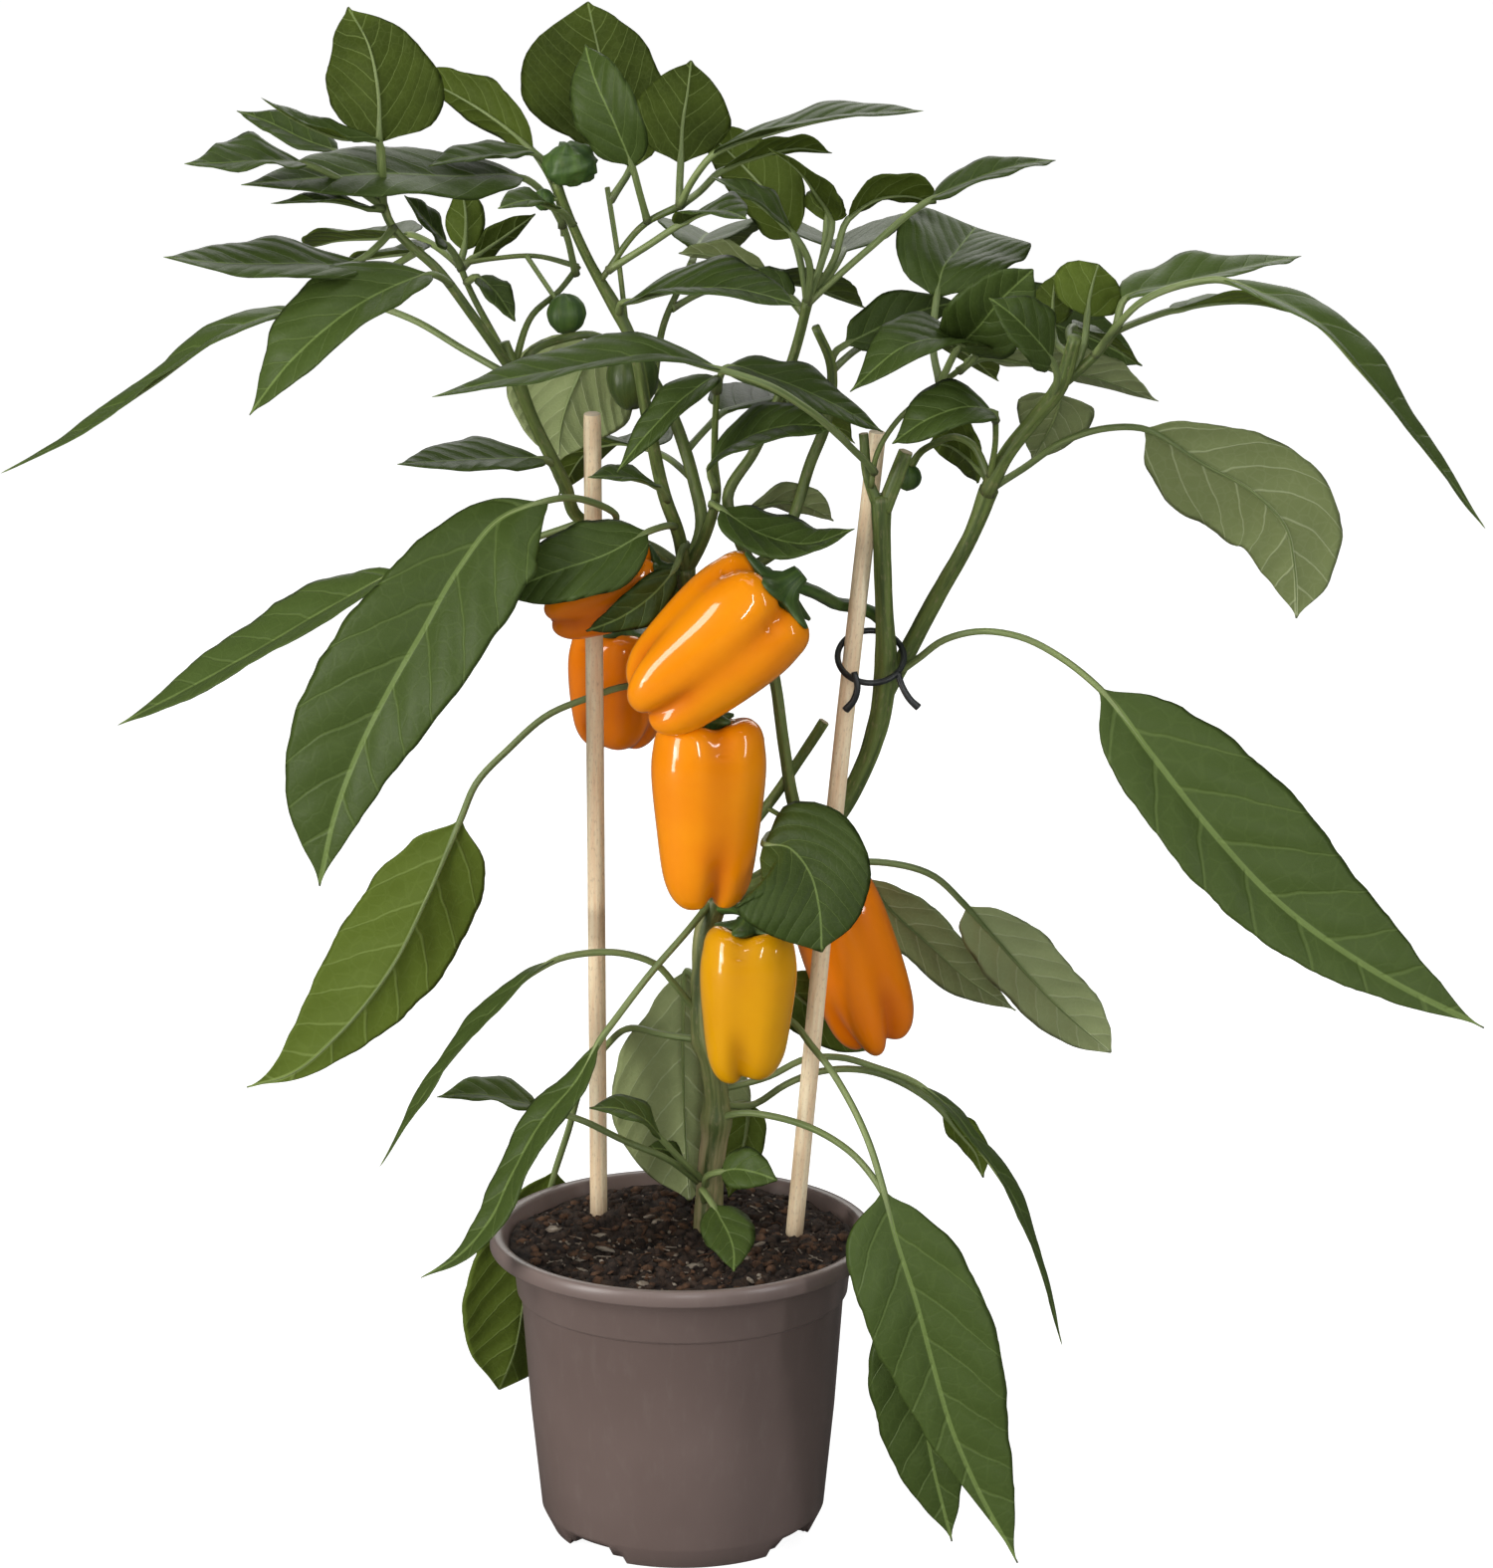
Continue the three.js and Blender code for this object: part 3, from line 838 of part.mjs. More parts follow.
const leaves = {
  leaf_left_large: {
    stalk: [[-26, 399.5, -22], [-25, 407, -4], [-41, 413, 12], [-50, 412, 22]],
    rib: [[-68, 405, 28], [-84, 385.5, 34], [-98.5, 360, 40], [-111, 338, 43], [-122.5, 315, 44],
      [-132, 290, 44], [-139, 260, 42]],
    half: [29, 29], face: [-0.3, -1, 0.35], fold: 12, shape: [[0.35, 1], [1.05, 0.8]], steps: 7,
  },
  leaf_over_fruit: {
    stalk: [[-2, 402, 1], [-6, 402, 14], [-12, 400, 22]],
    rib: [[-28, 391, 28], [-48, 384, 30], [-70, 375, 28]],
    half: 17, face: [0, -0.8, 0.8], fold: 6,
  },
  leaf_under_fruit: {
    stalk: [[2, 395, -5], [0, 392, 10], [-2, 386, 20]],
    rib: [[-10, 376, 24], [-22, 367, 25], [-36, 361, 22]],
    half: 8, face: [0.4, -0.8, 0.2], fold: 8,
  },
  leaf_left_arching: {
    stalk: [[-36, 404, -20.5], [-60, 396, -26], [-90, 388, -32], [-105, 385, -38]],
    rib: [[-130, 372, -44], [-160, 354, -50], [-190, 337, -56], [-215, 324, -60]],
    half: 18, face: [-0.3, -0.35, 1],
  },
  leaf_left_hanging: {
    stalk: [[8, 336, -8], [-5, 339, -16], [-20, 339.5, -20.5], [-36, 334.5, -22], [-50, 328.5, -24],
      [-66, 314.5, -26], [-79, 300, -28], [-84, 288, -29]],
    rib: [[-98, 255, -32], [-112, 227, -36], [-133, 200, -40], [-152, 184, -44], [-168.5, 179, -46]],
    half: [26, 22], face: [0.2, 1, 0.3], fold: 20, shape: [[0.85, 1.1], [0.7, 1.6]],
  },
  leaf_left_narrow: {
    stalk: [[6, 209, -2], [-3, 221, 2], [-9, 228, 4], [-22, 233, 6], [-38, 233, 10], [-47, 231, 14]],
    rib: [[-57, 226, 18], [-70, 213, 22], [-92, 187, 28], [-117.5, 146.5, 34]],
    half: 15, face: [-0.7, -0.03, 0.7], fold: 8,
  },
  leaf_left_draped: {
    stalk: [[13, 256, -2], [3, 243, 8], [-12, 225, 14], [-26, 206, 18], [-31, 199, 20]],
    rib: [[-41, 181, 24], [-54, 165, 30], [-66, 143, 38], [-75, 124, 46], [-88, 109, 52],
      [-102, 101, 56]],
    half: [15, 10], face: [-0.75, -0.5, 0.3], fold: 14,
  },
  leaf_left_small: {
    stalk: [[7, 140, -4], [-8, 151, 6], [-22, 157, 8], [-40, 166, 8], [-54, 170, 8]],
    rib: [[-68, 174, 10], [-80, 176, 12], [-95, 175, 14]],
    half: [9, 12], face: [0, -0.25, 1],
  },
  leaf_left_behind: {
    stalk: [[8, 198, -2], [-8, 200.5, -12], [-19, 203, -22], [-29, 196, -38], [-38, 182, -48],
      [-44.5, 160, -56], [-49, 146, -60]],
    rib: [[-57, 120, -64], [-62, 92, -67], [-66, 70, -68], [-72, 54.5, -68]],
    half: [25, 24], face: [-0.5, 1, 0.2], fold: 12, shape: [0.75, 0.55],
  },
  leaf_behind_trunk: {
    stalk: [[9, 214, -3], [6, 222, -16], [2, 226, -28]],
    rib: [[0.5, 205, -34], [0.5, 180, -38], [1.5, 152, -41], [3, 132, -43]],
    half: [29, 27], face: [0, 1, 0.1], fold: 8, shape: [1.2, 0.9],
  },
  leaf_behind_right: {
    stalk: [[14, 168, -5], [21, 172, -20], [25, 172, -26]],
    rib: [[25, 162, -28], [22, 148, -27], [18, 134, -28]],
    half: 9, face: [0, 1, 0.1], steps: 4,
  },
  leaf_front_middle: {
    stalk: [[46, 279, -11], [40, 281, -1], [34.5, 281, 14], [32.5, 279, 28], [31.5, 277, 34]],
    rib: [[41, 275.5, 40], [49, 266, 46], [53, 251, 52], [54, 233.5, 56]],
    half: [24, 32], face: [0.1, -1, 0.2], fold: 6, shape: [[0.7, 1], [0.6, 0.6]],
  },
  leaf_behind_middle: {
    stalk: [[10, 232, -2], [22, 232, -30], [36, 224, -54]],
    rib: [[48, 213, -60], [60, 203, -62], [76, 194, -62]],
    half: 15, face: [0, 1, 0.2],
  },
  leaf_right_pale: {
    stalk: [[48, 274, -11], [57, 272, -9], [69, 270, -8.5], [78, 269.5, -11], [97, 264, -18],
      [109, 252.5, -22]],
    rib: [[121, 239, -28], [133, 225, -34], [148, 209, -40], [166, 193, -46]],
    half: [17, 16], face: [0.1, 1, 0.4], fold: 14, shape: [0.55, 0.55],
  },
  leaf_right_inner: {
    stalk: [[45, 272, -11], [52, 278, -34], [62, 274, -56], [70, 264, -60]],
    rib: [[80, 251, -62], [94, 238, -64], [110, 223, -64], [129, 210, -62]],
    half: [15, 13], face: [0.1, 1, 0.4], fold: 12,
  },
  leaf_right_large: {
    stalk: [[83, 345, -6], [90, 350, 0], [100, 357.5, 8], [115, 361, 16], [130, 358.5, 22],
      [145, 350.5, 28], [158, 340, 32]],
    rib: [[180, 312, 46], [200, 286, 56], [230, 253, 66], [270, 224, 76], [310, 203, 82]],
    half: [32, 19], face: [0.1, -1, 0.4], fold: 12, shape: [[0.85, 1.2], [0.6, 1.15]], steps: 7,
  },
  leaf_right_front: {
    stalk: [[11, 208, -2], [42, 206, 8], [50, 196, 20], [57, 187, 28], [63, 177, 36], [69, 165, 44],
      [73, 155, 50], [78, 138, 58]],
    rib: [[83, 118, 64], [91, 92, 70], [98, 65, 74], [105, 40, 78], [116, 13, 82], [132, -18, 88]],
    half: [27, 22], face: [0, -1, 0.15], fold: 12, shape: [[0.75, 1.05], [0.6, 1.9]], steps: 7,
  },
  leaf_right_under: {
    stalk: [[13, 166, -4], [24, 168.5, 4], [38, 166.5, 10], [53, 161, 16], [66, 152, 22], [75, 141, 30],
      [88, 108, 40]],
    rib: [[91, 88, 42], [93, 60, 44], [97, 30, 46], [106, -9, 50]],
    half: 20, face: [-0.2, -1, 0.2],
  },
  leaf_right_trailing: {
    stalk: [[14, 178, -4], [34, 183.5, -12], [48, 190.5, -14], [62, 191, -14], [75, 187, -12],
      [90, 181, -8]],
    rib: [[104, 170, -4], [115, 155, 0], [129, 133, 4], [139, 107, 6], [148.5, 73, 8]],
    half: 11, face: [0.75, -0.1, 0.4], fold: 8,
  },
  leaf_right_folded: {
    stalk: [[13, 172, -4], [29, 172.5, -18], [40, 180, -20], [54, 185.5, -22], [70, 186, -24],
      [90, 178, -26], [101, 169, -26]],
    rib: [[107, 161, -26], [114, 152, -26], [117, 142, -26]],
    half: [6, 8], face: [0.3, 1, 0.3], steps: 4,
  },
  leaf_base_narrow: {
    stalk: [[8, 141, -3], [-1, 150, 10], [-8, 158, 18]],
    rib: [[-15, 166, 24], [-24, 170, 28], [-36, 170.5, 32]],
    half: 8, face: [0, -0.5, 1],
  },
  leaf_base_short: {
    stalk: [[7, 136, -6], [3, 145, -12], [0, 149, -14]],
    rib: [[-6, 153, -16], [-15, 154, -18]],
    half: 5, face: [0, -0.4, 1], steps: 4,
  },
  leaf_base_right: {
    stalk: [[9, 138, -2], [10, 143, 8], [15, 144.5, 14]],
    rib: [[22, 145.5, 20], [29, 144, 24], [37, 141, 28]],
    half: 9, face: [0.1, -1, 0.6], steps: 4,
  },
  leaf_base_front: {
    stalk: [[9, 132, -1], [8, 137, 10], [12, 131, 18]],
    rib: [[15, 125, 26], [18, 119, 33], [20, 112, 42], [20, 103.5, 52]],
    half: [10, 10], face: [0.1, -0.8, 0.6], fold: 8,
  },
};

// ---------------------------------------------------------------- assembly

// A bud or a young fruit, on a short stalk from `root` where it has one
function ball({ centre, radius, tall = 1, root }) {
  const detail = tall > 1 ? 2 : 1;
  const geometry = new THREE.IcosahedronGeometry(radius, detail);
  geometry.scale(1, 1, tall);
  const middle = at(centre);
  geometry.translate(middle.x, middle.y, middle.z);
  const solid = solidOf(geometry);
  return root ? solid.add(rod([root, centre], [1, 1])) : solid;
}

addPiece("pot", makePot(), "pot");
const caneSolids = Object.values(canes).map(({ route, radii }) => rod(route, radii, 8));
const caneClear = Object.values(canes).map(({ route, radii }) => rod(route, radii, 8, gap));
addPiece("soil", cleared(makeSoil(), [stemSolid(trunk, gap), ...caneClear]), "soil");
addPiece("cane_left", caneSolids[0], "cane");
addPiece("cane_right", caneSolids[1], "cane");
addPiece("stem_clip", makeClip(), "clip");
addPiece("main_stem", wholePiece(mainStem), "stem");

for (const [name, { shape, stalk }] of Object.entries(fruits)) {
  addPiece(name, fruit(shape), "fruit");
  addPiece(name + "_cap", cleared(cap(shape, stalk), [nearMainStem, fruit(shape, gap)]), "calyx");
}

const nearCrown = [nearMainStem];
for (const [name, { stems, leaves: blades, buds }] of Object.entries(crown)) {
  const shoots = stems.map(({ route, radii }) => ({
    route: opened(route), radii, sides: Math.max(...radii) > slimTwig ? 5 : 4,
  }));
  const openLeaves = blades.map((blade) => ({
    steps: Math.max(...[blade.half].flat()) > smallBlade ? 4 : 3,
    ...blade, stalk: opened(blade.stalk), rib: opened(blade.rib),
  }));
  const openBuds = buds.map((bud) => {
    const [centre, root] = opened(bud.root ? [bud.centre, bud.root] : [bud.centre]);
    return { ...bud, centre, root };
  });
  const body = joined([...shoots.map((stem) => stemSolid(stem)), ...openLeaves.map(leaf),
    ...openBuds.map(ball)]);
  addPiece(name, cleared(body, nearCrown), "leaf");
  nearCrown.push(joined(shoots.map((stem) => stemSolid(stem, gap))));
}

for (const [name, blade] of Object.entries(leaves)) {
  addPiece(name, cleared(leaf(blade), nearCrown), blade.face[1] > 0 ? "paleLeaf" : "leaf");
}

export default plant;
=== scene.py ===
# A bell pepper plant in its nursery pot: finer leaves, stems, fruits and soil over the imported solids
import math
import random
import re
import bmesh
import bpy
from mathutils import Matrix, Vector, noise


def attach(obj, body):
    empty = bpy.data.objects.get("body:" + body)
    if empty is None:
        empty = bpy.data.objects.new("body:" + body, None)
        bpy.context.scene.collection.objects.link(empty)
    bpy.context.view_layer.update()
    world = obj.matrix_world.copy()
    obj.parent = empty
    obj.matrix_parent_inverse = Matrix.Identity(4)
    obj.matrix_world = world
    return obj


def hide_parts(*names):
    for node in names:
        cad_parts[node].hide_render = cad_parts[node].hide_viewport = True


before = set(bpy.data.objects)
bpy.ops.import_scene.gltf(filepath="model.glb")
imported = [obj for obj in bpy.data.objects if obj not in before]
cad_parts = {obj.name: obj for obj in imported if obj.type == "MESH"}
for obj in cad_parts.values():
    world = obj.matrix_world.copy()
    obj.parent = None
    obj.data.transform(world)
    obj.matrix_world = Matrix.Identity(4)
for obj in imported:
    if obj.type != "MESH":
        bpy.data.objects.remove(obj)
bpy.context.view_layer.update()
mm = 0.001
up = Vector((0, 0, 1))

# Every point of the plant is (across, height, forward) in millimetres: a place on the front
# elevation through the pot's axis, drawn forward along the sight line from eye
eye = dict(across=25, away=2600, height=1016.3, tilt=15.3876, lens=161.84)


def at(point):
    across, height, forward = point
    share = forward / eye["away"]
    return Vector((
        across + (eye["across"] - across) * share,
        -forward,
        height + (eye["height"] - height) * share,
    ))


def mix(a, b, share):
    return a + (b - a) * share


def smooth(low, high, value):
    t = min(max((value - low) / (high - low), 0), 1)
    return t * t * (3 - 2 * t)


def roundPlace(angle, reach, height):
    return Vector((math.cos(angle) * reach, math.sin(angle) * reach, height))


# The crown's points have their forwards opened out as it rises
crownForm = dict(foot=390, top=480, spread=2)


def opened(point):
    across, height, forward = point
    risen = smooth(crownForm["foot"], crownForm["top"], height)
    return across, height, forward * mix(1, crownForm["spread"], risen)


# A group for a shared effect, which takes one vector and some named values and gives masks
def newGroup(name, vector, values, gives):
    group = bpy.data.node_groups.new(name, "ShaderNodeTree")
    group.interface.new_socket(name=vector, in_out="INPUT", socket_type="NodeSocketVector")
    for label, value in values.items():
        socket = group.interface.new_socket(name=label, in_out="INPUT", socket_type="NodeSocketFloat")
        socket.default_value = value
    for label in gives:
        group.interface.new_socket(name=label, in_out="OUTPUT", socket_type="NodeSocketFloat")
    given = group.nodes.new("NodeGroupInput")
    out = group.nodes.new("NodeGroupOutput")
    return [given.outputs[label] for label in (vector, *values)], out.inputs, Wiring(group)


class Wiring:
    def __init__(self, tree):
        self.tree = tree

    def node(self, kind, **settings):
        made = self.tree.nodes.new(kind)
        for key, value in settings.items():
            setattr(made, key, value)
        return made

    def feed(self, socket, value):
        if isinstance(value, bpy.types.NodeSocket):
            self.tree.links.new(value, socket)
        elif value is not None:
            socket.default_value = value

    def math(self, operation, a, b=None, c=None):
        made = self.node("ShaderNodeMath", operation=operation)
        for socket, value in zip(made.inputs, (a, b, c)):
            self.feed(socket, value)
        return made.outputs[0]

    def times(self, a, b):
        return self.math("MULTIPLY", a, b)

    # a times b, plus c
    def timesPlus(self, a, b, c):
        return self.math("MULTIPLY_ADD", a, b, c)

    def ramp(self, value, low, high):
        made = self.node("ShaderNodeMapRange", interpolation_type="SMOOTHSTEP")
        for label, given in (("Value", value), ("From Min", low), ("From Max", high)):
            self.feed(made.inputs[label], given)
        return made.outputs["Result"]

    def blend(self, share, a, b):
        made = self.node("ShaderNodeMix", data_type="RGBA")
        factor, firstColor, secondColor, result = 0, 6, 7, 2
        self.feed(made.inputs[factor], share)
        for socket, color in ((firstColor, a), (secondColor, b)):
            self.feed(made.inputs[socket], color if isinstance(color, bpy.types.NodeSocket) else (*color, 1))
        return made.outputs[result]

    def noise(self, vector, scale, detail=3, roughness=0.55):
        made = self.node("ShaderNodeTexNoise")
        for label, given in (("Vector", vector), ("Scale", scale), ("Detail", detail),
                             ("Roughness", roughness)):
            self.feed(made.inputs[label], given)
        return made.outputs["Fac"]

    def stretched(self, vector, scale):
        made = self.node("ShaderNodeMapping")
        self.feed(made.inputs["Vector"], vector)
        made.inputs["Scale"].default_value = scale
        return made.outputs["Vector"]

    def objectPlace(self):
        return self.node("ShaderNodeTexCoord").outputs["Object"]

    def map(self, name):
        return self.node("ShaderNodeUVMap", uv_map=name).outputs["UV"]

    def split(self, vector):
        made = self.node("ShaderNodeSeparateXYZ")
        self.feed(made.inputs[0], vector)
        return made.outputs

    # the base with colours laid over it, each where its mask is and as strongly as its share
    def layered(self, base, *layers):
        for mask, share, color in layers:
            base = self.blend(self.times(mask, share), base, color)
        return base

    def group(self, group, given):
        made = self.node("ShaderNodeGroup", node_tree=group)
        for label, value in given.items():
            self.feed(made.inputs[label], value)
        return made.outputs

    def bump(self, height, strength, distance):
        made = self.node("ShaderNodeBump")
        made.inputs["Strength"].default_value = strength
        made.inputs["Distance"].default_value = distance
        self.feed(made.inputs["Height"], height)
        return made.outputs["Normal"]


def finishOf(name, looks):
    material = bpy.data.materials.new(name)
    material.use_nodes = True
    shader = material.node_tree.nodes["Principled BSDF"]
    for label, value in looks.items():
        shader.inputs[label].default_value = (*value, 1) if isinstance(value, tuple) else value
    return material, shader, Wiring(material.node_tree)


lightSet = dict(
    key=dict(place=(-1.7, -1.2, 0.95), size=(0.6, 1.4), power=30, warm=(1, 0.98, 0.95)),
    front=dict(place=(0.12, -2.0, 0.95), size=(0.1, 1.1), power=10, warm=(1, 1, 1)),
    side=dict(place=(1.35, -1.1, 0.9), size=(0.14, 1.2), power=8, warm=(0.97, 0.98, 1)),
    low=dict(place=(-1.5, -0.9, 0.22), size=(0.3, 0.5), power=6, warm=(1, 0.98, 0.96)),
    top=dict(place=(-0.1, -0.3, 1.9), size=(1.1, 1.1), power=9, warm=(1, 1, 1)),
    back=dict(place=(0.2, 1.4, 1.1), size=(1.6, 1.0), power=11, warm=(1, 1, 0.96)),
)
aimHeight = 0.3
# how bright the room is behind the plant, as its light and in its shine
roomForm = dict(seen=1.02, glow=0.2, gloss=0.06)
floorForm = dict(
    size=12, drop=0.0002, rough=0.9, glow=0.92, pale=(0.4, 0.4, 0.4), inShine=(0.08, 0.08, 0.08))


def makeCamera():
    camera = bpy.data.objects.new("viewCamera", bpy.data.cameras.new("viewCamera"))
    bpy.context.collection.objects.link(camera)
    camera.location = (eye["across"] * mm, -eye["away"] * mm, eye["height"] * mm)
    camera.rotation_euler = (math.radians(90 - eye["tilt"]), 0, 0)
    camera.data.lens = eye["lens"]
    camera.data.sensor_width = 36
    camera.data.clip_start = 0.05
    camera.data.clip_end = 60
    bpy.context.scene.camera = camera


def makeLights():
    for name, light in lightSet.items():
        data = bpy.data.lights.new(name + "Light", "AREA")
        data.shape = "RECTANGLE"
        data.size, data.size_y = light["size"]
        data.energy = light["power"]
        data.color = light["warm"]
        lamp = bpy.data.objects.new(name + "Light", data)
        lamp.location = light["place"]
        aim = Vector((0, 0, aimHeight)) - lamp.location
        lamp.rotation_euler = aim.to_track_quat("-Z", "Y").to_euler()
        bpy.context.collection.objects.link(lamp)
    world = bpy.data.worlds.new("paleRoom")
    world.use_nodes = True
    wire = Wiring(world.node_tree)
    rays = wire.node("ShaderNodeLightPath").outputs
    sky = world.node_tree.nodes["Background"]
    sky.inputs["Color"].default_value = (1, 1, 1, 1)
    glow = roomForm["glow"]
    seen = wire.timesPlus(rays["Is Camera Ray"], roomForm["seen"] - glow, glow)
    wire.feed(sky.inputs["Strength"], wire.timesPlus(rays["Is Glossy Ray"], roomForm["gloss"] - glow, seen))
    bpy.context.scene.world = world
    bpy.context.scene.view_settings.view_transform = "Standard"


def makeFloor():
    form = floorForm
    bpy.ops.mesh.primitive_plane_add(size=form["size"], location=(0, 0, -form["drop"]))
    floor = bpy.context.object
    floor.name = "paleFloor"
    looks = {"Roughness": form["rough"], "Emission Color": (1.0, 1.0, 1.0)}
    material, shader, wire = finishOf("paleFloor", looks)
    rays = wire.node("ShaderNodeLightPath").outputs
    wire.feed(shader.inputs["Emission Strength"], wire.times(rays["Is Camera Ray"], form["glow"]))
    wire.feed(shader.inputs["Base Color"], wire.blend(rays["Is Glossy Ray"], form["pale"], form["inShine"]))
    floor.data.materials.append(material)


makeCamera()
makeLights()
makeFloor()
print("camera, light and floor are ready")

# Side veins leave the midrib at a slant and bend towards the tip
veinForm = dict(slant=1.05, curve=0.24, offset=0.45, wander=0.3, netScale=3.4)


# Veins of a blade. The map runs across the blade from the midrib and along it, both counted in
# distances between side veins.
def makeVeins():
    takes, out, wire = newGroup(
        "bladeVeins", "Blade Map", {"Vein Width": 0.022, "Rib Width": 0.032},
        ["Side Veins", "Midrib", "Net", "Quilt"])
    spread, veinWidth, ribWidth = takes
    wander = wire.noise(spread, 1.1, 2)
    x, y, _ = wire.split(spread)
    away = wire.math("ABSOLUTE", x)
    sweep = wire.timesPlus(wire.times(away, away), veinForm["curve"], wire.times(away, veinForm["slant"]))
    sides = wire.times(wire.math("GREATER_THAN", x, 0), veinForm["offset"])
    phase = wire.math("ADD", wire.math("SUBTRACT", y, sweep), sides)
    phase = wire.math("FRACT", wire.timesPlus(wander, veinForm["wander"], phase))
    near = wire.math("SUBTRACT", 0.5, wire.math("ABSOLUTE", wire.math("SUBTRACT", phase, 0.5)))
    thin = wire.math("DIVIDE", veinWidth, wire.timesPlus(away, 0.5, 0.7))
    cells = wire.node("ShaderNodeTexVoronoi", feature="DISTANCE_TO_EDGE")
    wire.feed(cells.inputs["Vector"], spread)
    cells.inputs["Scale"].default_value = veinForm["netScale"]
    wire.feed(out["Side Veins"], wire.ramp(near, wire.times(thin, 2.4), wire.times(thin, 0.4)))
    wire.feed(out["Midrib"], wire.ramp(away, wire.times(ribWidth, 1.6), ribWidth))
    wire.feed(out["Net"], wire.ramp(cells.outputs["Distance"], 0.09, 0.0))
    wire.feed(out["Quilt"], wire.ramp(near, 0.0, 0.42))
    return wire.tree


# Long streaks down a stem, cane or fruit, on a map that runs round and along it
def makeStreaks():
    takes, out, wire = newGroup("lengthStreaks", "Round Map", {"Fineness": 6.0}, ["Streak", "Fleck"])
    around, fineness = takes
    streak = wire.noise(wire.stretched(around, (1, 0.06, 1)), fineness, 4, 0.6)
    fleck = wire.noise(wire.stretched(around, (1, 0.3, 1)), wire.times(fineness, 2.5), 3, 0.6)
    wire.feed(out["Streak"], wire.ramp(streak, 0.32, 0.68))
    wire.feed(out["Fleck"], wire.ramp(fleck, 0.52, 0.72))
    return wire.tree


# Soft patches and fine grain in the object's own space
def makeMottle():
    takes, out, wire = newGroup(
        "softMottle", "Place", {"Patch Scale": 30.0, "Grain Scale": 400.0}, ["Patch", "Grain"])
    place, patchScale, grainScale = takes
    wire.feed(out["Patch"], wire.ramp(wire.noise(place, patchScale, 3), 0.3, 0.7))
    wire.feed(out["Grain"], wire.noise(place, grainScale, 4, 0.65))
    return wire.tree


veinGroup = makeVeins()
streakGroup = makeStreaks()
mottleGroup = makeMottle()


def streaksOn(wire, fineness):
    return wire.group(streakGroup, {"Round Map": wire.map("bladeMap"), "Fineness": fineness})


def mottleOn(wire, patch, grain):
    return wire.group(mottleGroup, {"Place": wire.objectPlace(), "Patch Scale": patch, "Grain Scale": grain})


# tone 0 gives dark and tone 1 gives light; the shares say how strongly the veins show
# each leaf's tone is partly its own green and partly painted light and shade, set leaf by leaf for how lit
# that leaf looks
leafLooks = dict(
    upper=dict(dark=(0.022, 0.038, 0.005), light=(0.088, 0.135, 0.03), vein=(0.2, 0.28, 0.08), veinShare=0.2,
               ribShare=0.55, netShare=0.04, rough=0.46, shine=0.17, patch=0.45, relief=0.0007),
    under=dict(dark=(0.1, 0.13, 0.03), light=(0.36, 0.42, 0.2), vein=(0.5, 0.56, 0.32), veinShare=0.45,
               ribShare=0.75, netShare=0.06, rough=0.65, shine=0.2, patch=0.3, relief=0.0008),
    # lit is painted backlight and shade on an underside: its light end colours it as if lit through from
    # behind, its dark end as if it lay in shade
    lit=dict(dark=(0.026, 0.04, 0.002), light=(0.13, 0.185, 0.025), vein=(0.26, 0.34, 0.1), veinShare=0.32,
             ribShare=0.6, netShare=0.05, rough=0.62, shine=0.12, patch=0.45, relief=0.0006),
)


def makeLeafFinish(name, looks):
    gloss = {"Roughness": looks["rough"], "Specular IOR Level": looks["shine"]}
    material, shader, wire = finishOf(name, gloss)
    veins = wire.group(veinGroup, {"Blade Map": wire.map("bladeMap")})
    mottle = mottleOn(wire, 42.0, 700.0)
    tone = wire.split(wire.map("toneMap"))[0]
    middle = tuple((a + b) / 2 for a, b in zip(looks["light"], looks["dark"]))
    wire.feed(shader.inputs["Base Color"], wire.layered(
        wire.blend(tone, looks["dark"], looks["light"]), (mottle["Patch"], looks["patch"], middle),
        (veins["Net"], looks["netShare"], looks["vein"]),
        (veins["Side Veins"], looks["veinShare"], looks["vein"]),
        (veins["Midrib"], looks["ribShare"], looks["vein"])))
    rough = wire.timesPlus(mottle["Grain"], 0.16, looks["rough"] - 0.08)
    wire.feed(shader.inputs["Roughness"], rough)
    sign = 1.0 if name == "leafUpper" else -1.0
    height = wire.times(wire.math("SUBTRACT", veins["Quilt"], veins["Side Veins"]), sign)
    height = wire.timesPlus(veins["Net"], -0.12 * sign, height)
    height = wire.timesPlus(mottle["Grain"], 0.4, height)
    wire.feed(shader.inputs["Normal"], wire.bump(height, 0.45, looks["relief"]))
    return material


jointColor = (0.035, 0.018, 0.022)


def makeStemFinish(name, green, dark, woody, rough=0.5):
    material, shader, wire = finishOf(name, dict(Roughness=rough))
    streaks = streaksOn(wire, 3.0)
    mottle = mottleOn(wire, 60.0, 900.0)
    tone, joint, _ = wire.split(wire.map("toneMap"))
    wire.feed(shader.inputs["Base Color"], wire.layered(
        wire.blend(streaks["Streak"], dark, green), (wire.times(tone, streaks["Streak"]), 0.9, woody),
        (joint, 0.8, jointColor), (streaks["Fleck"], 0.25, woody)))
    height = wire.timesPlus(mottle["Grain"], 0.4, streaks["Streak"])
    wire.feed(shader.inputs["Normal"], wire.bump(height, 0.5, 0.0005))
    return material


# in each look, deep is the darker orange that the finish lays as painted shade into the furrows and round
# both ends; the kind named deep is a redder skin
fruitLooks = dict(
    ripe=dict(base=(0.86, 0.25, 0.0005), deep=(0.55, 0.11, 0.0), bright=(0.92, 0.33, 0.001)),
    deep=dict(base=(0.88, 0.21, 0.0005), deep=(0.55, 0.1, 0.0), bright=(0.92, 0.26, 0.001)),
    young=dict(base=(0.72, 0.32, 0.001), deep=(0.4, 0.16, 0.0), bright=(0.78, 0.38, 0.003)),
)


fruitGloss = {"Roughness": 0.4, "Specular IOR Level": 0.1, "Coat Weight": 0.9, "Coat Roughness": 0.06}


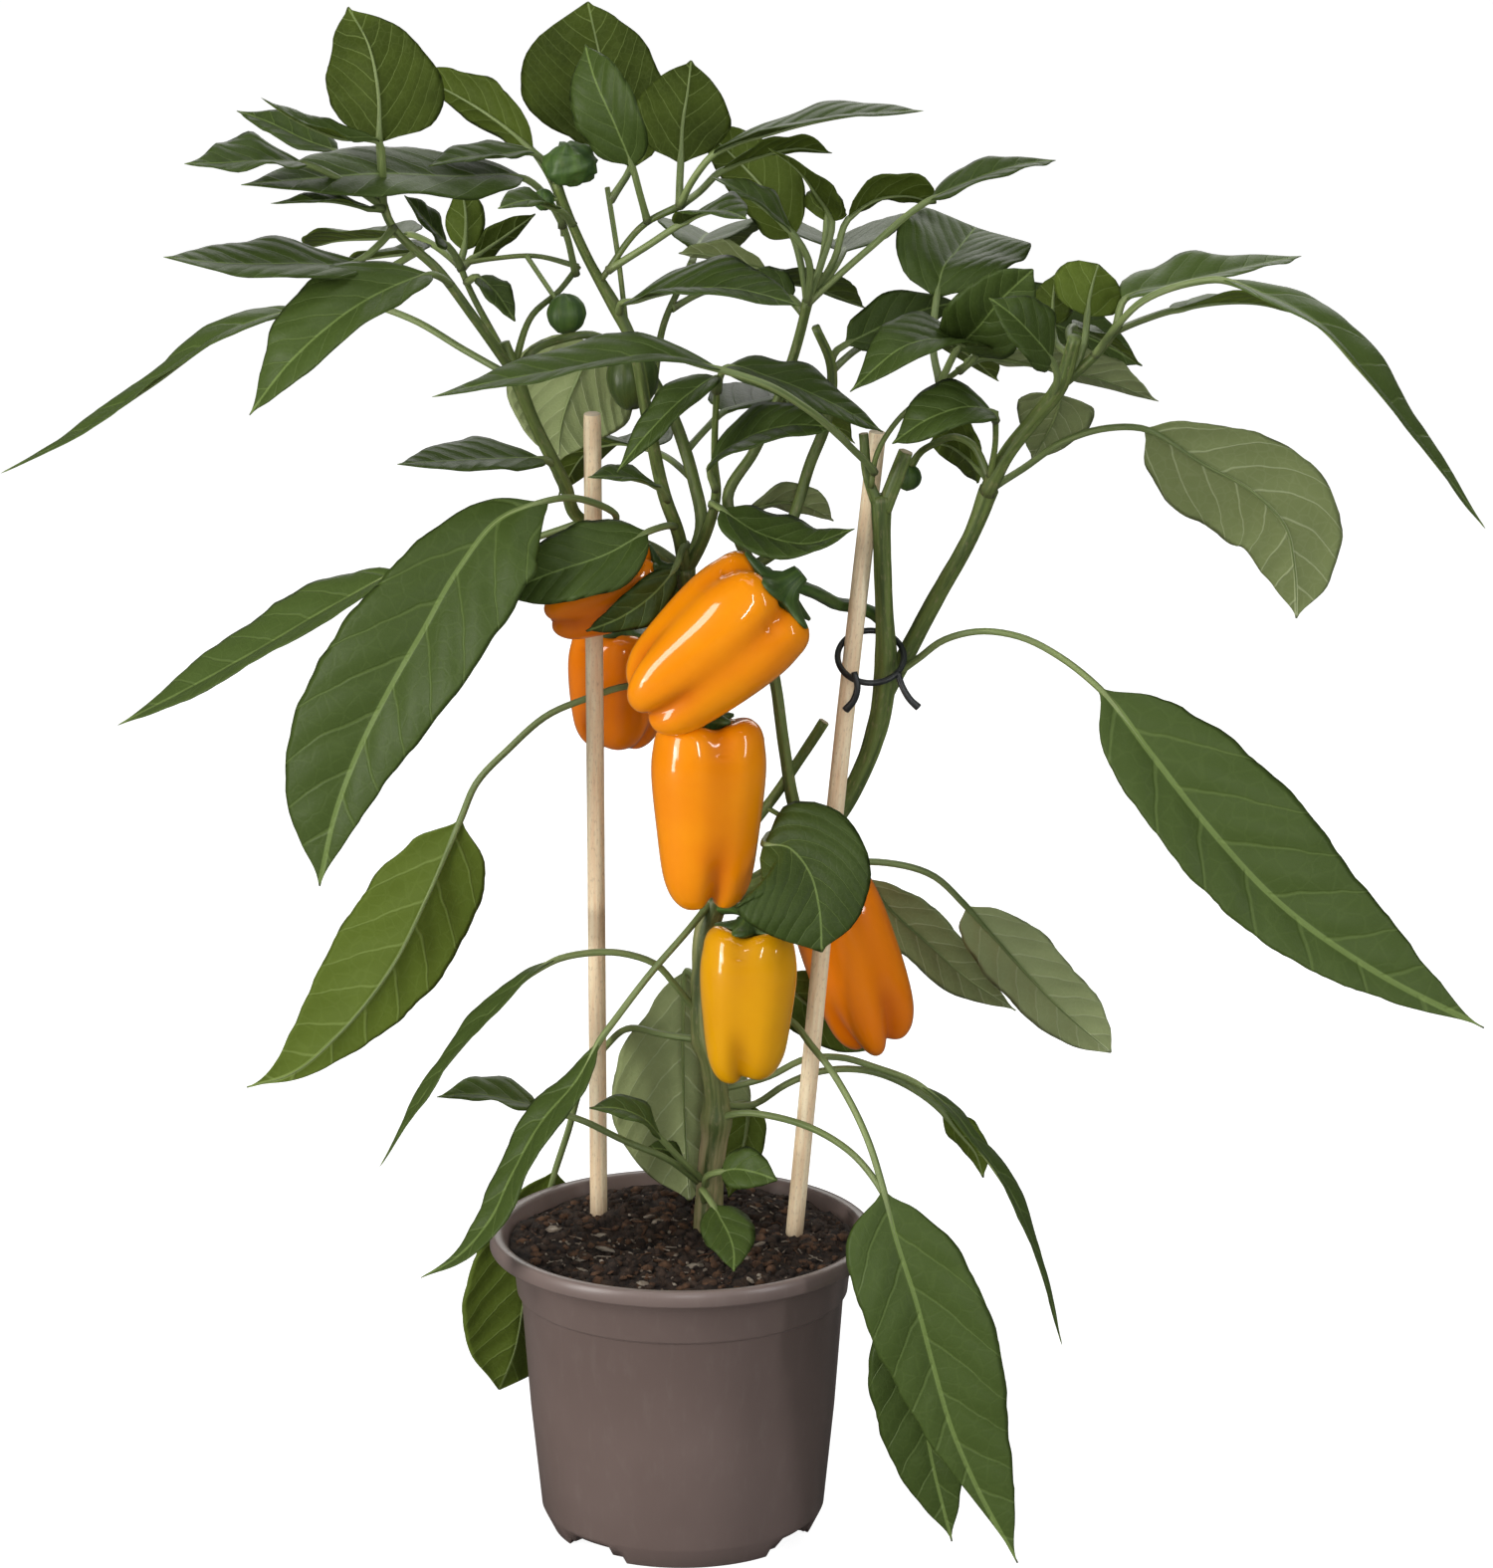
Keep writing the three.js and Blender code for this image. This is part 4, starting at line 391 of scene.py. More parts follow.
def makeFruitFinish(name, looks):
    material, shader, wire = finishOf(name, fruitGloss)
    streaks = streaksOn(wire, 2.2)
    mottle = mottleOn(wire, 38.0, 1500.0)
    furrow, ends, _ = wire.split(wire.map("toneMap"))
    # painted shade: the deep orange laid into the furrows and round the stalk dip and blossom end, where
    # shade falls; the streaks and bright patches are the skin's own
    wire.feed(shader.inputs["Base Color"], wire.layered(
        looks["base"], (mottle["Patch"], 0.5, looks["bright"]), (streaks["Streak"], 0.06, looks["deep"]),
        (furrow, 0.75, looks["deep"]), (ends, 0.5, looks["deep"])))
    height = wire.times(mottle["Grain"], 0.3)
    wire.feed(shader.inputs["Normal"], wire.bump(height, 0.1, 0.0004))
    return material


leafUpper = makeLeafFinish("leafUpper", leafLooks["upper"])
leafUnder = makeLeafFinish("leafUnder", leafLooks["under"])
leafPaintedBacklight = makeLeafFinish("leafPaintedBacklight", leafLooks["lit"])
stemSkin = makeStemFinish("stemSkin", (0.15, 0.2, 0.045), (0.055, 0.085, 0.017), (0.4, 0.31, 0.17))
stalkSkin = makeStemFinish("stalkSkin", (0.23, 0.3, 0.1), (0.11, 0.155, 0.045), (0.3, 0.29, 0.14))
calyxSkin = makeStemFinish("calyxSkin", (0.07, 0.14, 0.02), (0.025, 0.06, 0.01), (0.12, 0.15, 0.04))
youngSkin = makeStemFinish("youngSkin", (0.09, 0.13, 0.03), (0.04, 0.07, 0.014), (0.12, 0.14, 0.04), 0.35)
cutSkin = makeStemFinish("cutSkin", (0.5, 0.42, 0.27), (0.36, 0.3, 0.18), (0.58, 0.5, 0.36), 0.75)
fruitSkins = dict(
    ripe=makeFruitFinish("fruitRipe", fruitLooks["ripe"]),
    deep=makeFruitFinish("fruitDeep", fruitLooks["deep"]),
    young=makeFruitFinish("fruitYoung", fruitLooks["young"]),
)
# pale is the underside's own colour; lit is the underside with painted backlight and shade
leafUnders = dict(pale=leafUnder, lit=leafPaintedBacklight)
print("plant finishes are ready")


# A smooth line through points, sampled by length
class Route:
    def __init__(self, points):
        self.points = points
        self.marks = [0]
        for a, b in zip(points, points[1:]):
            self.marks.append(self.marks[-1] + (b - a).length)
        self.length = self.marks[-1]
        self.slopes = []
        last = len(points) - 1
        for i, point in enumerate(points):
            if i == 0:
                self.slopes.append((points[1] - point).normalized())
            elif i == last:
                self.slopes.append((point - points[i - 1]).normalized())
            else:
                back = (point - points[i - 1]).length
                ahead = (points[i + 1] - point).length
                arriving = (point - points[i - 1]) * (ahead / back)
                leaving = (points[i + 1] - point) * (back / ahead)
                self.slopes.append((arriving + leaving) / (back + ahead))

    def at(self, distance):
        i = 0
        while i < len(self.marks) - 2 and distance > self.marks[i + 1]:
            i += 1
        span = self.marks[i + 1] - self.marks[i]
        t = (distance - self.marks[i]) / span
        point = self.points[i] * (2 * t ** 3 - 3 * t ** 2 + 1)
        point += self.slopes[i] * span * (t ** 3 - 2 * t ** 2 + t)
        point += self.points[i + 1] * (3 * t ** 2 - 2 * t ** 3)
        return point + self.slopes[i + 1] * span * (t ** 3 - t ** 2)

    def along(self, distance):
        step = self.length / 300
        low = self.at(max(distance - step, 0))
        return (self.at(min(distance + step, self.length)) - low).normalized()

    def mark(self, distance):
        i = 0
        while i < len(self.marks) - 2 and distance > self.marks[i + 1]:
            i += 1
        return i + (distance - self.marks[i]) / (self.marks[i + 1] - self.marks[i])


def carried(near, directions, start):
    square = lambda vector, i: (vector - directions[i] * vector.dot(directions[i])).normalized()
    out = [None] * len(directions)
    out[start] = square(near, start)
    for i in range(start + 1, len(directions)):
        out[i] = square(out[i - 1], i)
    for i in range(start - 1, -1, -1):
        out[i] = square(out[i + 1], i)
    return out


def turnOut(mesh):
    shell = bmesh.new()
    shell.from_mesh(mesh)
    bmesh.ops.recalc_face_normals(shell, faces=shell.faces)
    shell.to_mesh(mesh)
    shell.free()


# Corners and faces gathered for one piece, with a map over its surface and its tones
class Skin:
    def __init__(self, *finishes):
        self.finishes = list(finishes)
        self.corners, self.faces, self.kinds, self.maps, self.tones = [], [], [], [], []

    def corner(self, point):
        self.corners.append(point * mm)
        return len(self.corners) - 1

    # a round of corners from one direction towards the other
    def ring(self, centre, one, other, count):
        turns = [math.tau * j / count for j in range(count)]
        return [self.corner(centre + one * math.cos(turn) + other * math.sin(turn)) for turn in turns]

    def face(self, corners, maps, tones, finish):
        if finish not in self.finishes:
            self.finishes.append(finish)
        self.faces.append(corners)
        self.maps.append(maps)
        self.tones.append(tones)
        self.kinds.append(self.finishes.index(finish))

    # one face over a ring of corners
    def lid(self, ring, finish, tone=(0, 0)):
        self.face(ring, [(0, 0)] * len(ring), [tone] * len(ring), finish)

    # a lid on each end of a tube of rings
    def lids(self, rings, finish, tone=(0, 0)):
        self.lid(rings[0][::-1], finish, tone)
        self.lid(rings[-1], finish, tone)

    # rows of corner numbers, each with (map, tone) beside it, joined into quads
    def sheet(self, rows, facts, finish, flip=False, closed=False):
        for r in range(len(rows) - 1):
            count = len(rows[r]) - (0 if closed else 1)
            for c in range(count):
                d = (c + 1) % len(rows[r])
                quad = [(r, c, c), (r, d, c + 1), (r + 1, d, c + 1), (r + 1, c, c)]
                if flip:
                    quad.reverse()
                corners = [rows[i][j] for i, j, _ in quad]
                if len(set(corners)) < 3:
                    continue
                keep = [k for k in range(4) if corners[k] not in corners[:k]]
                known = [facts(quad[k][0], quad[k][2]) for k in keep]
                maps, tones = zip(*known)
                self.face([corners[k] for k in keep], maps, tones, finish)

    def piece(self, name, node):
        mesh = bpy.data.meshes.new(name)
        mesh.from_pydata(self.corners, [], self.faces)
        for material in self.finishes:
            mesh.materials.append(material)
        bladeMap = mesh.uv_layers.new(name="bladeMap")
        toneMap = mesh.uv_layers.new(name="toneMap")
        loop = 0
        for polygon, kind, maps, tones in zip(mesh.polygons, self.kinds, self.maps, self.tones):
            polygon.material_index = kind
            polygon.use_smooth = True
            for place, tone in zip(maps, tones):
                bladeMap.data[loop].uv = place
                toneMap.data[loop].uv = tone
                loop += 1
        mesh.validate()
        turnOut(mesh)
        made = bpy.data.objects.new(name, mesh)
        bpy.context.collection.objects.link(made)
        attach(made, "root")
        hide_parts(node)
        return made


def noFacts(row, column):
    return (0, 0), (0, 0)


# The ribs of a stem, how far a knob and a dark joint reach, and how the bark fades out round its top
stemForm = dict(ribs=5, knob=4.5, barkFade=12, barkEnd=4, joint=3.5)


# A tapering round stem with ribs along it, dark at its foot where joint is above 0
def addStem(skin, route, radii, finish, sides=12, rib=0.05, spacing=3.0, woody=0.0, bark=0, joint=0.0,
            cut=None, wobble=0.0, knobs=()):
    path = Route([at(point) for point in route])
    count = max(3, round(path.length / spacing))
    steps = [path.length * k / count for k in range(count + 1)]
    directions = [path.along(step) for step in steps]
    ups = carried(Vector((0, -1, 0.01)), directions, 0)
    rows = []
    size = sum(radii) / len(radii) * math.tau

    def radiusAt(step):
        place = path.mark(step)
        before = radii[min(int(place), len(radii) - 1)]
        after = radii[min(int(place) + 1, len(radii) - 1)]
        share = place - int(place)
        knobbed = 1
        for where, high in knobs:
            knobbed += high * math.exp(-((step - where) / stemForm["knob"]) ** 2)
        return mix(before, after, share * share * (3 - 2 * share)) * knobbed

    for k, step in enumerate(steps):
        centre = path.at(step)
        side = ups[k].cross(directions[k])
        ring = []
        for j in range(sides):
            angle = math.tau * j / sides
            swell = 1 + rib * math.cos(stemForm["ribs"] * angle + step * 0.01)
            if wobble:
                swell += wobble * noise.noise(roundPlace(angle, 2, step * 0.12))
            reach = radiusAt(step) * swell
            around = side * math.cos(angle) - ups[k] * math.sin(angle)
            ring.append(skin.corner(centre + around * reach))
        rows.append(ring)

    def facts(r, c):
        step = steps[r]
        dark = joint * math.exp(-step / stemForm["joint"])
        aged = woody
        if bark:
            aged = max(woody, 1 - smooth(bark - stemForm["barkFade"], bark + stemForm["barkEnd"], step))
        return (size * c / sides / 10, step / 10), (aged, dark)

    skin.sheet(rows, facts, finish, closed=True)
    for r, flip in ((0, True), (count, False)):
        middle = skin.corner(path.at(steps[r]))
        end = cut if cut and r else finish
        for j in range(sides):
            corners = [rows[r][j], rows[r][(j + 1) % sides], middle]
            skin.lid(corners[::-1] if flip else corners, end, (woody, 0))


def outline(share, rise, fall):
    if share <= 0 or share >= 1:
        return 0
    peak = rise / (rise + fall)
    return (share / peak) ** rise * ((1 - share) / (1 - peak)) ** fall


bladeLook = dict(
    thick=0.5, rowSpacing=2.2, puff=0.026, edgeWave=0.35, ripple=0.5, curl=0.9, veinSpread=0.135, stalk=1.25,
    neck=0.8, neckLength=0.05, tip=0.6, tipLength=0.06, scallop=1.1, nibble=0.35)


# A blade sets off from a narrow neck and ends in a drawn-out tip
def narrowing(share):
    neck = bladeLook["neck"] * math.exp(-(share / bladeLook["neckLength"]) ** 2)
    tip = bladeLook["tip"] * math.exp(-((1 - share) / bladeLook["tipLength"]) ** 2)
    return (1 - neck) * (1 - tip)


# Uneven bays along a blade's edge
def scallops(along, which):
    long = noise.noise(Vector((along * 0.1, which * 5.3, 2.5)))
    short = noise.noise(Vector((along * 0.33, which * 7.1, 9.5)))
    return bladeLook["scallop"] * long + bladeLook["nibble"] * short


# A leaf on its stalk. half holds the half widths left and right of someone walking from root to
# tip on the upper side, face is the way the upper side looks at the middle.
def addLeaf(skin, seed, stalk, rib, half, face, fold=16, wave=1.5, shape=(0.75, 1.05), tone=0.4, under="lit",
            crinkle=1.0):
    under = leafUnders[under]
    halves = half if isinstance(half, tuple) else (half, half)
    shapes = shape if isinstance(shape[0], tuple) else (shape, shape)
    path = Route([at(point) for point in list(stalk) + list(rib)])
    root = path.marks[len(stalk) - 1]
    blade = path.length - root
    widest = max(halves)
    rows = max(12, round(blade / bladeLook["rowSpacing"]))
    columns = max(4, min(12, round(widest / 2.4)))
    spacing = max(9, blade * bladeLook["veinSpread"])
    steps = [root + blade * (k / rows) for k in range(rows + 1)]
    directions = [path.along(step) for step in steps]
    ups = carried(Vector(face).normalized(), directions, round(rows * 0.4))
    bend = math.radians(fold)
    puff = bladeLook["puff"] * widest * crinkle * min(1, blade / 90)
    drift = random.Random(seed).uniform(0, 50)
    places = [-((columns - c) / columns) for c in range(columns)] + [c / columns for c in range(columns + 1)]
    tops, bottoms, facts = [], [], []
    for k, step in enumerate(steps):
        share = k / rows
        centre = path.at(step)
        side = ups[k].cross(directions[k])
        top, bottom, fact = [], [], []
        for c in places:
            which = 0 if c < 0 else 1
            full = outline(share, *shapes[which])
            reach = max(halves[which] * full * narrowing(share), 0.35)
            reach += scallops(step - root + drift, which) * smooth(0, 0.5, full) * min(1, reach / 9)
            out = abs(c)
            across = reach * out
            along = step - root
            lean = bend * full
            wave1 = math.sin(math.tau * (share * 2.6 + which * 0.37))
            ripple = wave * bladeLook["ripple"] * full * wave1 * out ** 1.4
            curl = noise.noise(Vector((along * 0.055 + drift, c * 0.9, which)))
            curl *= bladeLook["curl"] * crinkle * full
            edge = noise.noise(Vector((along * 0.16 + drift, which * 3.1, 7))) * bladeLook["edgeWave"]
            edge *= out ** 3 * crinkle
            bent = veinForm["slant"] * across + veinForm["curve"] * across * across / spacing
            phase = (along - bent) / spacing + (veinForm["offset"] if c > 0 else 0)
            near = 0.5 - abs(phase % 1 - 0.5)
            quilt = puff * (smooth(0, 0.42, near) - 0.5) * smooth(0, 0.2, out) * (1 - out ** 3) * full
            arch = 0.05 * reach * math.sin(math.pi * out)
            lift = reach * math.sin(lean) * out + ripple + curl * out + edge * full + quilt + arch
            point = centre + side * (-1 if c > 0 else 1) * across * math.cos(lean) + ups[k] * lift
            border = out > 0.999 or k in (0, rows)
            thick = bladeLook["thick"] / 2
            if border:
                number = skin.corner(point)
                top.append(number)
                bottom.append(number)
            else:
                top.append(skin.corner(point + ups[k] * thick))
                bottom.append(skin.corner(point - ups[k] * thick))
            fact.append((((across if c > 0 else -across) / spacing, along / spacing), (tone, 0)))
        tops.append(top)
        bottoms.append(bottom)
        facts.append(fact)
    lookUp = lambda r, c: facts[r][c]
    skin.sheet(tops, lookUp, leafUpper, flip=True)
    skin.sheet(bottoms, lookUp, under)
    addRib(skin, path, root, blade, ups, steps)


# The stalk and the midrib under the blade as one tapering rod
ribForm = dict(sides=8, spacing=3.5, foot=0.35, footLength=4, waist=0.62, tip=0.12, sink=0.62)


def addRib(skin, path, root, blade, ups, steps):
    sides, form = ribForm["sides"], ribForm
    count = max(2, round(root / form["spacing"]))
    lead = [root * k / count for k in range(count)]
    run = lead + steps[:-1]
    directions = [path.along(step) for step in run]
    carriedUps = carried(ups[0], directions, len(lead))
    rows = []
    for k, step in enumerate(run):
        share = max(0, (step - root) / blade)
        start = 1 + form["foot"] * math.exp(-step / form["footLength"])
        slim = (1 - share) ** 0.8 * mix(1, form["waist"], smooth(0, 0.2, share))
        radius = bladeLook["stalk"] * start * slim + form["tip"]
        above = ups[k - len(lead)] if k >= len(lead) else carriedUps[k]
        side = above.cross(directions[k])
        sink = radius * form["sink"] * smooth(0, 0.12, share)
        centre = path.at(step) - above * sink
        rows.append(skin.ring(centre, side * radius, above * -radius, sides))
    skin.sheet(rows, lambda r, c: ((c * 0.12, run[r] / 10), (0.1, 0.7 * math.exp(-run[r] / 2.5))), stalkSkin,
               closed=True)
    skin.lids(rows, stalkSkin)


# Places down the fruit as shares of its length, and how wide it is there as shares of its width
fruitProfile = [
    (0.16, 0.0), (0.13, 0.1), (0.08, 0.24), (0.02, 0.42), (0, 0.6), (0.02, 0.77), (0.09, 0.92), (0.26, 1.01),
    (0.52, 0.98), (0.78, 0.89), (0.91, 0.74), (0.985, 0.52), (0.995, 0.31), (0.95, 0.14), (0.92, 0.0),
]


def eased(rows, place):
    i = min(int(place), len(rows) - 2)
    t = place - i
    before, after = rows[max(i - 1, 0)], rows[min(i + 2, len(rows) - 1)]
    out = []
    for a, b, c, d in zip(before, rows[i], rows[i + 1], after):
        curve = (2 * a - 5 * b + 4 * c - d) * t * t + (3 * b - a - 3 * c + d) * t ** 3
        out.append(0.5 * (2 * b + (c - a) * t + curve))
    return out


def fruitAxes(top, end):
    start, finish = at(top), at(end)
    axis = finish - start
    length = axis.length
    axis.normalize()
    out = (Vector((0, -1, 0)) + axis * axis.y).normalized()
    return start, axis, length, out, axis.cross(out)


# Rounded furrows, deep at the shoulder and the blossom end and shallow between. The lobes wander a
# little round the fruit, rise beside the cap and hang down unevenly at the blossom end.
fruitForm = dict(
    spokes=72, rows=70, width=0.27, shoulder=0.7, waist=0.35, bottom=1.5, sag=0.42, uneven=0.07, wander=0.3,
    rise=0.035, riseRows=0.45, hangFrom=0.6, hangTo=0.95, lumps=0.035)


def makeFruit(name, shape, finish, node):
    form = fruitForm
    start, axis, length, out, side = fruitAxes(shape["top"], shape["end"])
    lobes, furrow = shape.get("lobes", 4), shape.get("furrow", 0.1)
    turn, taper = shape.get("turn", 0), shape.get("taper", 0)
    spokes, rows = form["spokes"], form["rows"]
    drift = sum(ord(letter) for letter in name) * 0.13
    skin = Skin(finish)
    rings, facts = [], []
    for k in range(rows + 1):
        place, spread = eased(fruitProfile, k / rows * (len(fruitProfile) - 1))
        hang = smooth(form["hangFrom"], form["hangTo"], place)
        ring, fact = [], []
        for j in range(spokes):
            angle = math.tau * j / spokes
            own = noise.noise(roundPlace(angle, 0.9, drift))
            bearing = (angle + turn + form["wander"] * own) * lobes / math.tau
            which = round(bearing) % lobes
            away = ((bearing % 1) - 0.5) * math.tau / lobes
            groove = math.exp(-(away / form["width"]) ** 2)
            depth = mix(form["shoulder"], form["waist"], smooth(0.05, 0.4, place))
            depth = mix(depth, form["bottom"], smooth(0.55, 0.95, place)) * (1 + 0.5 * own)
            lobe = 0.6 * math.cos(math.tau * bearing) + 0.4 * (1 - 2 * groove)
            crease = 1 - furrow * (0.45 * (1 - math.cos(math.tau * bearing)) + depth * groove)
            reach = max(spread, 0) * crease * (1 - taper * place)
            reach *= 1 + form["lumps"] * noise.noise(roundPlace(angle, 1.5, place * 2.2 + drift))
            drop = place * length
            if place > form["hangFrom"]:
                drop += lobe * spread * furrow * length * form["sag"] * hang
                uneven = noise.noise(Vector((which * 2.3, drift, 4))) * form["uneven"] * length
                drop += uneven * (1 - groove) * hang
            if k < rows * form["riseRows"]:
                drop -= lobe * spread * form["rise"] * length * (1 - place) * smooth(0.2, 0.6, spread)
            point = start + axis * drop + side * shape["wide"] / 2 * reach * math.cos(angle)
            point += out * shape["deep"] / 2 * reach * math.sin(angle)
            ring.append(skin.corner(point))
            # masks for painted shade, in the furrows and towards both narrow ends
            ends = smooth(0.35, 0.1, spread) if k > rows / 2 else smooth(0.42, 0.2, spread)
            fact.append((place * length / 10, (groove * min(depth, 1), ends)))
        rings.append(ring)
        facts.append(fact)

    def factsAt(r, c):
        along, tones = facts[r][c % spokes]
        return (c / spokes * 6, along), tones

    skin.sheet(rings, factsAt, finish, closed=True)
    skin.lids(rings, finish, (0, 1))
    return skin.piece(name, node)


# The green cap in the dip, its points lying out over the shoulder, and the ribbed stalk above it
capForm = dict(
    spokes=50, points=5, reach=0.26, bumps=0.05, stalk=2.5, root=3.3, end=2.9,
    bands=[(0.085, 0.1), (0.045, 0.17), (0.005, 0.25), (-0.006, 0.3), (-0.02, 0.3), (-0.035, 0.22),
           (-0.055, 0.15), (-0.1, 0.095), (-0.17, 0.07)])


def makeCap(name, shape, stalk, node, size=1):
    form, spokes = capForm, capForm["spokes"]
    start, axis, length, out, side = fruitAxes(shape["top"], shape["end"])
    wide = shape["wide"] * size
    skin = Skin(calyxSkin)
    rings = []
    for place, spread in form["bands"]:
        ring = []
        for j in range(spokes):
            angle = math.tau * j / spokes
            star = 1 + (form["reach"] if 0.2 < spread else 0.05) * math.cos(form["points"] * angle + 0.5)
            star += form["bumps"] * noise.noise(roundPlace(angle, 2, spread * 9 + wide))
            reach = wide * spread * star
            ring.append(skin.corner(start + axis * place * length + side * reach * math.cos(angle)
                                    + out * reach * math.sin(angle)))
        rings.append(ring)
    skin.sheet(rings, lambda r, c: ((c * 0.08, r * 0.2), (0.15, 0.1)), calyxSkin, closed=True)
    skin.lids(rings, calyxSkin)
    route = [shape["top"]] + list(stalk)
    radii = [form["root"]] + [form["stalk"]] * (len(route) - 2) + [form["end"]]
    addStem(skin, route, radii, calyxSkin, sides=15, rib=0.09, spacing=2.0)
    return skin.piece(name, node)


fruits = dict(
    pepperTopLeft=dict(
        shape=dict(top=(-8, 383, 4), end=(-50, 368, 2), wide=33, deep=27, turn=0.4, taper=0.1),
        stalk=[(-5, 384, 3), (-4, 379, 0), (-1, 372, -4), (3, 366, -9)],
        skin="deep",
    ),
    pepperBehindCane=dict(
        shape=dict(
            top=(-22, 361, -47), end=(-25, 315, -46), wide=43, deep=38, lobes=3, turn=0.5, taper=0.1),
        stalk=[(-20, 368, -43), (-10, 372, -28), (3, 366, -10)],
        skin="deep",
    ),
    pepperTilted=dict(
        shape=dict(top=(37, 376, 38), end=(-14, 331, 38), wide=52, deep=46, turn=0.5, taper=0.1),
        stalk=[(43, 378, 35), (50, 376.5, 24), (56, 373.5, 8), (60, 371.5, -3), (66, 370.5, -10),
            (72, 368.5, -9), (77.5, 365, -1)],
        skin="ripe",
    ),
    pepperMiddle=dict(
        shape=dict(
            top=(10.5, 326, 29), end=(9.5, 256, 29), wide=46, deep=42, lobes=3, turn=-0.77, taper=0.12,
            furrow=0.09),
        stalk=[(10.5, 331, 26), (10.5, 334, 16), (10, 330, 5), (9, 322, -8)],
        skin="ripe",
        capSize=0.62,
    ),
    pepperLow=dict(
        shape=dict(
            top=(27, 243, 27), end=(25, 184, 27), wide=38, deep=37, lobes=3, turn=-0.22, taper=0.06,
            furrow=0.09),
        stalk=[(26.5, 247, 24), (22, 251, 12), (14, 252, -2)],
        skin="young",
    ),
    pepperRight=dict(
        shape=dict(top=(54, 268, -31), end=(76, 198, -31), wide=34, deep=34, turn=0.2, taper=-0.25),
        stalk=[(52.5, 272, -29), (48, 270, -24), (42, 267, -13)],
        skin="deep",
    ),
)

potForm = dict(
    height=121, rim=75, inside=70, lip=6.5, bandFoot=97, footRaise=2.5, floorTop=5, drainCircle=31,
    drainRadius=4, drains=8, notchAngles=(-133, -33, 47, 137), notchHigh=5.5, notchStep=2.6,
    notchHalf=10, stepHalf=15,
)


def makePotFinish():
    material, shader, wire = finishOf("potPlastic", dict(Roughness=0.42))
    mottle = mottleOn(wire, 14.0, 1600.0)
    streaks = streaksOn(wire, 0.9)
    tone = wire.split(wire.map("toneMap"))[0]
    # painted highlight: the tone from the pot's profile lays a paler taupe on the rim's top and lip and
    # along the edges of the band and foot
    wire.feed(shader.inputs["Base Color"], wire.layered(
        wire.blend(mottle["Patch"], (0.145, 0.104, 0.092), (0.168, 0.122, 0.109)),
        (tone, 0.5, (0.22, 0.175, 0.16)), (streaks["Fleck"], 0.12, (0.24, 0.2, 0.18))))
    wire.feed(shader.inputs["Roughness"], wire.timesPlus(mottle["Patch"], 0.08, 0.3))
    wire.feed(shader.inputs["Normal"], wire.bump(mottle["Grain"], 0.12, 0.0003))
    return material


def makePot():
    form = potForm
    skin = Skin(makePotFinish())
    finish = skin.finishes[0]
    height, rim, lip, band = form["height"], form["rim"], form["lip"], form["bandFoot"]
    # radius, height and how strongly a painted highlight shows, from the middle of the foot over the rim to
    # the inside
    inside, raised = form["inside"], form["footRaise"]
    ledge = height - lip
    profile = [
        (0, 0, 0), (16.5, 0, 0), (17, 0.2, 0), (19, raised, 0), (43.5, raised, 0), (45, 0, 0),
        (50.6, 0, 0.3), (51, 0.4, 0.3), (54.8, 8, 0.1), (55.4, 9.4, 0.1), (59.5, 50, 0),
        (62.9, band - 1.2, 0), (63.3, band - 0.6, 0.3), (64.1, band - 0.1, 0.4), (64.5, band + 0.6, 0.2),
        (66.3, ledge - 0.5, 0), (66.8, ledge, 0), (rim - 1.4, ledge, 0), (rim - 0.5, ledge + 0.3, 0.2),
        (rim, ledge + 1.1, 0.5), (rim - 0.3, height - 2.2, 0.6), (rim - 0.7, height - 0.7, 0.9),
        (rim - 1.5, height, 1), (inside + 1.3, height, 1), (inside + 0.3, height - 0.4, 0.8),
        (inside - 0.6, height - 1.6, 0.3), (66.2, 112, 0), (63.6, band + 0.4, 0), (62.2, band - 1, 0),
        (54.8, 14, 0), (51.5, form["floorTop"], 0), (0, form["floorTop"], 0),
    ]
    segments = 216
    rings = []
    for radius, level, _ in profile:
        ring = []
        for j in range(segments):
            angle = math.tau * j / segments
            z = level
            if 44 < radius < 56.5 and level < form["notchHigh"]:
                z = max(z, notchTop(angle, radius))
            ring.append(skin.corner(roundPlace(angle, radius, z)))
            if radius == 0:
                ring = ring[:1] * segments
                break
        rings.append(ring)
    run = [0]
    for a, b in zip(profile, profile[1:]):
        run.append(run[-1] + math.hypot(b[0] - a[0], b[1] - a[1]))
    facts = lambda r, c: ((c * 40 / segments, run[r] / 10), (profile[r][2], 0))
    skin.sheet(rings, facts, finish, closed=True)
    pot = skin.piece("nurseryPot", "pot")
    cutDrains(pot)
    return pot


def notchTop(angle, radius):
    for middle in potForm["notchAngles"]:
        off = (math.degrees(angle) - middle + 180) % 360 - 180
        reach = abs(math.radians(off)) * radius
        if reach < potForm["notchHalf"]:
            return potForm["notchHigh"]
        if reach < potForm["stepHalf"]:
            return potForm["notchStep"]
    return 0


def cutDrains(pot):
    drills = []
    for k in range(potForm["drains"]):
        angle = math.tau * (k + 0.5) / potForm["drains"]
        away = potForm["drainCircle"] * mm
        bpy.ops.mesh.primitive_cylinder_add(
            vertices=32, radius=potForm["drainRadius"] * mm, depth=0.02,
            location=roundPlace(angle, away, 0))
        drills.append(bpy.context.object)
    for drill in drills:
        cut = pot.modifiers.new("drain", "BOOLEAN")
        cut.operation, cut.object = "DIFFERENCE", drill
    bpy.context.view_layer.update()
    held = pot.evaluated_get(bpy.context.evaluated_depsgraph_get())
    opened = bpy.data.meshes.new_from_object(held)
    pot.modifiers.clear()
    pot.data = opened
    for drill in drills:
        bpy.data.objects.remove(drill, do_unlink=True)


# The filled pot's inside, and (x, y, radius) of what stands in it and stays clear of crumbs
soilForm = dict(top=117.2, relief=1.8, rough=1.5, radius=67.3, foot=5.4, spokes=180, rounds=46,
                clearings=[(10, 4, 7.5), (-31, 27, 5.5), (43, 7, 5.5)])


